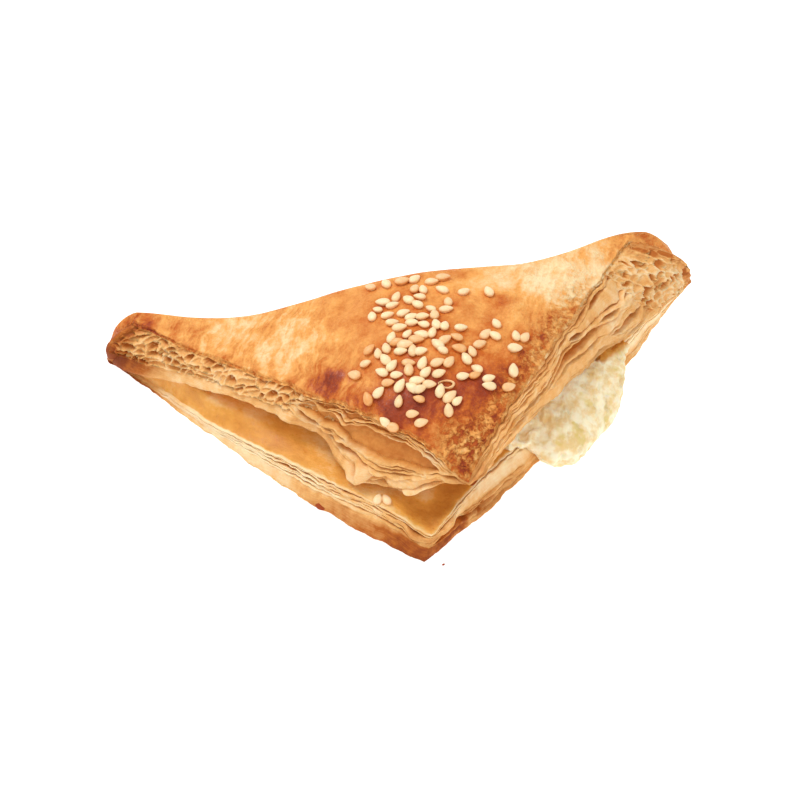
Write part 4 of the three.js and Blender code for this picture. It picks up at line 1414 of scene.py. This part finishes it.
def tone(name, description, red, green, blue):
    """A setting for a colour."""
    return bpy.props.FloatVectorProperty(
        name=name, description=description, default=colour(red, green, blue), size=4,
        min=0, max=1, subtype="COLOR")


class TurnoverDough(bpy.types.PropertyGroup):
    """Colours of the baked dough, from the least to the most browned."""

    pale: tone("Pale", "The skin where it has hardly browned", 254, 228, 178)
    golden: tone("Golden", "The skin where it is golden", 246, 174, 92)
    brown: tone("Brown", "The skin where it is brown", 204, 104, 30)
    deep: tone("Deep", "The skin where it is red-brown", 162, 62, 18)
    dark: tone("Dark", "The skin where it is darkest", 118, 34, 8)
    leaf_pale: tone("Leaf pale", "The palest leaves of the cut faces", 252, 228, 184)
    leaf_golden: tone("Leaf golden", "Golden leaves of the cut faces", 237, 179, 108)
    leaf_brown: tone("Leaf brown", "Brown leaves of the cut faces", 186, 102, 30)
    leaf_dark: tone("Leaf dark", "The darkest leaves of the cut faces", 146, 66, 14)
    # The cell colours are painted shade and glow, given to the depths between the leaves where
    # shade falls.
    cell_light: tone("Cell light", "Depths between the leaves, where light gets in", 220, 150, 70)
    cell_dark: tone("Cell dark", "Depths between the leaves, where they are dark", 182, 100, 32)
    pocket_pale: tone("Pocket pale", "The pocket where it has hardly browned", 246, 216, 164)
    pocket_golden: tone("Pocket golden", "The pocket where it is golden", 226, 160, 72)
    pocket_brown: tone("Pocket brown", "The pocket where it is brown", 188, 110, 30)


class TurnoverSeeds(bpy.types.PropertyGroup):
    """Sizes and colours of the sesame seeds."""

    length: number("Length", "Length of a sesame seed", 3.25 * MM, unit="LENGTH")
    width: number("Width", "Width of a sesame seed", 2.05 * MM, unit="LENGTH")
    height: number("Height", "Thickness of a sesame seed", 1.45 * MM, unit="LENGTH")
    hull: tone("Hull", "A seed that has hardly browned", 254, 228, 182)
    toasted: tone("Toasted", "A toasted seed", 236, 170, 102)
    # The darkest seed colour shows only round the seeds' rims, as painted shade.
    seed_rim_shade: tone("Scorched", "The rim of a well toasted seed", 206, 124, 58)


class TurnoverFilling(bpy.types.PropertyGroup):
    """Relief and colours of the filling."""

    lumps: number("Lumps", "Height of the filling's lumps", 0.85 * MM, unit="LENGTH")
    curd: tone("Curd", "The lumps of the filling", 255, 242, 208)
    # The hollow colour is partly the filling's own tone and partly painted shade between its lumps.
    hollow: tone("Hollow", "The filling between its lumps", 238, 208, 148)
    fleck: tone("Fleck", "Yellow flecks in the filling", 222, 196, 108)
    # This colour is painted shade, in the slit between the filling and the dough.
    baked: tone("Baked", "The filling where it has browned", 222, 156, 66)


class TurnoverCrumbs(bpy.types.PropertyGroup):
    """Size and colour of the crumbs."""

    size: number("Size", "Size of the crumbs, as a share of their own", 1.0, min=0.2, max=3,
                 subtype="FACTOR")
    crumb: tone("Crumb", "The crumbs of baked crust", 158, 66, 22)


class TurnoverStage(bpy.types.PropertyGroup):
    """Camera and lights."""

    azimuth: number("Azimuth", "Direction the camera looks from", math.radians(-8),
                    subtype="ANGLE")
    elevation: number("Elevation", "Camera's angle above the floor", math.radians(46),
                      subtype="ANGLE")
    distance: number("Distance", "From the camera to its target", 0.6, unit="LENGTH")
    lens: number("Lens", "Focal length in millimetres", 118.8)
    key_power: number("Key", "Power of the key light", 4.6, unit="POWER")
    fill_power: number("Fill", "Power of the fill light", 2.2, unit="POWER")


TARGET = (-1.65, -21.2, 0)      # the camera looks at it
# Where the two lamps stand, from the middle of the part, and how wide they are, in metres.
KEY_LAMP = ((-0.35, 0.35, 0.8), 0.5)
FILL_LAMP = ((0.3, -0.7, 0.6), 0.7)

GROUPS = {
    "turnover_dough": TurnoverDough,
    "turnover_seeds": TurnoverSeeds,
    "turnover_filling": TurnoverFilling,
    "turnover_crumbs": TurnoverCrumbs,
    "turnover_stage": TurnoverStage,
}

# ---- operators


class TURNOVER_OT_dough(bpy.types.Operator):
    """Builds the folded sheet of dough with its skin, cut faces and pocket."""

    bl_idname = "turnover.dough"
    bl_label = "Dough"

    def execute(self, context):
        look = context.scene.turnover_dough
        patches = dough_patches()
        points, source = domed(patches.joined("points"))
        mesh = mesh_from("folded_dough", points, loft_faces(*points.shape[:2]),
                         [skin_material(look), leaf_material(look), inner_material(look)])
        kinds = np.append(np.tile(patches.joined("kind")[0], len(points) - 1), [SKIN, SKIN])
        mesh.polygons.foreach_set("material_index", kinds.astype(np.int32))
        toast_and_shading = patches.joined("toast_and_shading")[source]
        toast_and_shading[:len(DOME_ANGLES)] += np.sin(np.radians(DOME_ANGLES))[::-1, None] * DOME_TOAST
        add_values(mesh, "toast_and_shading", toast_and_shading)
        for name in ("depth", "crisp", "wrinkled"):
            add_values(mesh, name, patches.joined(name)[source])
        add_vectors(mesh, "leaf", points[..., [0, 2, 1]] * (1.4, 1.2, 0.0))
        recalculated(mesh)
        piece = placed("folded_dough", mesh)
        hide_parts("pastry")
        return {"FINISHED"}


class TURNOVER_OT_leaves(bpy.types.Operator):
    """Builds the thin leaves of the two cut faces."""

    bl_idname = "turnover.leaves"
    bl_label = "Leaves"

    def execute(self, context):
        material = leaf_material(context.scene.turnover_dough)
        for name, lamination in (("upper_leaves", UPPER), ("lower_leaves", LOWER)):
            upper = lamination is UPPER
            browning_and_shading = face_browning if upper else base_browning
            along, stack = leaf_stack(lamination, upper)
            lofts = [(ring, depth, leaf, browning_and_shading(column(along), share) + tone)
                     for ring, depth, leaf, share, tone in stack]
            for web in lamination.webs:
                along, ring, depth, leaf, share = web_sheet(web, lamination)
                toast_and_shading = browning_and_shading(column(along), share) + WEB_SHADE_AND_TOAST[0] * depth + WEB_SHADE_AND_TOAST[1]
                lofts.append((ring, depth, leaf, toast_and_shading))
            self.build(name, lofts, material)
        return {"FINISHED"}

    @staticmethod
    def build(name, lofts, material):
        """One piece of many closed lofts."""
        faces, start = [], 0
        for ring, *_ in lofts:
            stations, size = ring.shape[:2]
            faces += loft_faces(stations, size, start)
            start += stations * size
        points, depth, leaf, toast_and_shading = (
            np.concatenate([values.reshape(-1, *values.shape[2:]) for values in alike])
            for alike in zip(*lofts))
        mesh = mesh_from(name, points, faces, [material])
        add_values(mesh, "toast_and_shading", toast_and_shading)
        add_values(mesh, "depth", depth)
        add_vectors(mesh, "leaf", leaf)
        recalculated(mesh)
        piece = placed(name, mesh)
        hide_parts("pastry")


class TURNOVER_OT_filling(bpy.types.Operator):
    """Builds the filling in the pocket and where it comes out on the right."""

    bl_idname = "turnover.filling"
    bl_label = "Filling"

    def execute(self, context):
        look = context.scene.turnover_filling
        stations = np.linspace(*FILLING_STATIONS, FILLING_RINGS)
        rings = np.array([filling_section(s) for s in stations])
        mesh = mesh_from("filling_curd", rings, loft_faces(*rings.shape[:2]),
                         [filling_material(look)])
        recalculated(mesh)
        piece = placed("filling_curd", mesh)
        smoother = piece.modifiers.new("round", "SUBSURF")
        smoother.levels = smoother.render_levels = 3
        piece.data = plain_mesh(piece)
        self.roughen(piece.data, look.lumps)
        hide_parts("filling")
        return {"FINISHED"}

    @staticmethod
    def roughen(mesh, lumps):
        """Pushes the surface out and in along its normals, in curds of several sizes."""
        count = len(mesh.vertices)
        points, normals = np.empty(count * 3), np.empty(count * 3)
        mesh.vertices.foreach_get("co", points)
        mesh.vertices.foreach_get("normal", normals)
        points, normals = points.reshape(-1, 3), normals.reshape(-1, 3)
        coarse, fine, sparse = (
            cloud(*(points / MM).T, size=size, seed=seed, octaves=2)
            for size, seed in ((4.2, 101), (1.7, 107), (2.1, 113)))
        curds, crumbs = 1 - 2 * np.abs(coarse), 1 - 2 * np.abs(fine)
        push = lumps * (0.55 * curds + 0.5 * crumbs - 0.9 * smooth(0.35, 0.6, sparse))
        points += normals * column(push)
        points[:, 2] = np.maximum(points[:, 2], 0.0)
        mesh.vertices.foreach_set("co", points.ravel())
        mesh.update()
        # Painted shade along the slit beside the dough, stored under the name baked.
        start, end = to_row(SLIT_SHADE_LINE)
        share = np.clip((points - start) @ (end - start) / np.sum((end - start) ** 2), 0, 1)
        away = np.linalg.norm(points - start - column(share) * (end - start), axis=1)
        add_values(mesh, "baked", bell(away, SLIT_SHADE_REACH * MM))


class TURNOVER_OT_seeds(bpy.types.Operator):
    """Scatters the sesame seeds over the top and the ledge."""

    bl_idname = "turnover.seeds"
    bl_label = "Sesame seeds"

    def execute(self, context):
        look = context.scene.turnover_seeds
        random = np.random.default_rng(17)
        lift = look.height / MM / 2 - SEED_SINK
        laid = [laid_on(x, y, math.radians(heading), skin_height, lift, random.normal(0, 0.06))
                for x, y, heading in TOP_SEEDS]
        laid += [laid_on(x, y, math.radians(heading), ledge_height, lift)
                 for x, y, heading in LEDGE_SEEDS]
        spots = mesh_from("seed_spots", [place for place, _ in laid], [], [])
        add_vectors(spots, "turn", [tuple(turn) for _, turn in laid])
        add_values(spots, "size", random.normal(1.0, 0.07, len(laid)))
        add_values(spots, "tint", 0.75 * random.random(len(laid)) ** 2.8)
        sizes = {"Length": look.length, "Width": look.width, "Height": look.height}
        material = seed_material(look)
        seeds = placed("sesame_seeds", grown("sesame_seeds", spots, seed_tree(material), sizes))
        husk = placed("seed_husk", self.husk_mesh(material))
        for piece in (seeds, husk):
            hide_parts("pastry")
        return {"FINISHED"}

    @staticmethod
    def husk_mesh(material):
        """The empty, curled hull of one seed: a thin uneven ring that lies on the skin."""
        count, size = 30, 8
        turn = (2 * math.pi * np.arange(count) / count)[:, None]
        around = (2 * math.pi * np.arange(size) / size)[None, :]
        wall = 0.2 + 0.1 * np.cos(turn) + 0.03 * np.sin(5 * turn)
        x = (1.42 + wall * np.cos(around)) * np.cos(turn) - 0.5 * bell(turn - math.pi, 0.5)
        y = (0.86 + wall * np.cos(around)) * np.sin(turn)
        z = 0.5 + 0.42 * np.sin(around) + 0.16 * np.cos(2 * turn)
        place, lean = laid_on(*HUSK, skin_height, 0.0)
        points = np.stack([x, y, z], axis=-1) @ np.array(lean.to_matrix()).T + np.array(place)
        faces = ring_faces(count + 1, size, wrap=count * size)
        mesh = mesh_from("seed_husk", points, faces, [material])
        for name, value in (("tint", 0.45), ("edge", 0.0)):
            add_values(mesh, name, np.full(count * size, value))
        recalculated(mesh)
        return mesh


class TURNOVER_OT_crumbs(bpy.types.Operator):
    """Adds the crumbs on the crust and beside it."""

    bl_idname = "turnover.crumbs"
    bl_label = "Crumbs"

    def execute(self, context):
        look = context.scene.turnover_crumbs
        even = {"Base Color": look.crumb, "Roughness": 0.6, "Specular IOR Level": 0.25}
        mesh = bpy.data.meshes.new("crumbs")
        mesh.materials.append(new_material("baked_crumb", even)[0])
        work = bmesh.new()
        for x, y, z, *size, heading in CRUMBS:
            place = Matrix.Translation(to_row((x, y, z)))
            turn = Matrix.Rotation(math.radians(heading), 4, "Z")
            scale = Matrix.Diagonal((*(side * look.size * MM for side in size), 1))
            bmesh.ops.create_icosphere(work, subdivisions=3, radius=0.5,
                                       matrix=place @ turn @ scale)
        work.normal_update()
        for vertex in work.verts:
            relief = float(cloud(*(vertex.co / MM), size=0.7, seed=131))
            vertex.co += vertex.normal * CRUMB_RELIEF * MM * relief
        work.to_mesh(mesh)
        work.free()
        piece = placed("crumbs", mesh)
        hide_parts("pastry")
        return {"FINISHED"}


class TURNOVER_OT_stage(bpy.types.Operator):
    """Adds the floor, the soft lights and the camera."""

    bl_idname = "turnover.stage"
    bl_label = "Stage"

    def execute(self, context):
        look = context.scene.turnover_stage
        scene = context.scene
        scene.view_settings.view_transform = "Standard"
        scene.view_settings.look = "None"
        self.floor()
        self.sky(scene)
        self.lamp("key", *KEY_LAMP, look.key_power)
        self.lamp("fill", *FILL_LAMP, look.fill_power)
        around, above = look.azimuth, look.elevation
        back = Vector((math.sin(around) * math.cos(above), -math.cos(around) * math.cos(above),
                       math.sin(above)))
        data = bpy.data.cameras.new("camera")
        data.lens = look.lens
        camera = added("camera", data)
        camera.location = Vector(to_row(TARGET)) + back * look.distance
        camera.rotation_euler = back.to_track_quat("Z", "Y").to_euler()
        scene.camera = camera
        return {"FINISHED"}

    @staticmethod
    def floor():
        """A white floor just below the part."""
        half, height = 3.0, -0.00005
        even = {"Base Color": (0.5, 0.5, 0.5, 1.0), "Roughness": 0.8, "Specular IOR Level": 0.1,
                "Emission Color": (1.0, 1.0, 1.0, 1.0), "Emission Strength": 0.9}
        mesh = bpy.data.meshes.new("floor")
        corners = [(x, y, height) for x, y in
                   ((-half, -half), (half, -half), (half, half), (-half, half))]
        mesh.from_pydata(corners, [], [(0, 1, 2, 3)])
        mesh.materials.append(new_material("white_sweep", even)[0])
        floor = added("floor", mesh)

    @staticmethod
    def sky(scene):
        """A warm, even light from all round."""
        world = bpy.data.worlds.new("soft_sky")
        world.use_nodes = True
        background = world.node_tree.nodes["Background"]
        background.inputs["Color"].default_value = (1.0, 0.98, 0.95, 1.0)
        background.inputs["Strength"].default_value = 0.62
        scene.world = world

    @staticmethod
    def lamp(name, away, size, power):
        """A round, soft lamp that shines on the middle of the part."""
        data = bpy.data.lights.new(name, "AREA")
        data.shape = "DISK"
        data.size = size
        data.energy = power
        lamp = added(name, data)
        lamp.location = Vector((0, 0, 0.012)) + Vector(away)
        lamp.rotation_euler = Vector(away).to_track_quat("Z", "Y").to_euler()


OPERATORS = (TURNOVER_OT_dough, TURNOVER_OT_leaves, TURNOVER_OT_filling, TURNOVER_OT_seeds,
             TURNOVER_OT_crumbs, TURNOVER_OT_stage)


class TURNOVER_PT_panel(bpy.types.Panel):
    """Lists the turnover's pieces."""

    bl_label = "Turnover"
    bl_idname = "TURNOVER_PT_panel"
    bl_space_type = "VIEW_3D"
    bl_region_type = "UI"
    bl_category = "Turnover"

    def draw(self, context):
        for operator in OPERATORS:
            self.layout.operator(operator.bl_idname)
        for name in GROUPS:
            box = self.layout.box()
            settings = getattr(context.scene, name)
            for key in settings.bl_rna.properties.keys():
                if key not in ("rna_type", "name"):
                    box.prop(settings, key)


CLASSES = (*GROUPS.values(), *OPERATORS, TURNOVER_PT_panel)


def register():
    for cls in CLASSES:
        bpy.utils.register_class(cls)
    for name, group in GROUPS.items():
        setattr(bpy.types.Scene, name, bpy.props.PointerProperty(type=group))


def unregister():
    for name in GROUPS:
        delattr(bpy.types.Scene, name)
    for cls in reversed(CLASSES):
        bpy.utils.unregister_class(cls)


def main():
    register()
    for operator in OPERATORS:
        family, name = operator.bl_idname.split(".")
        getattr(getattr(bpy.ops, family), name)()


if __name__ == "__main__":
    main()
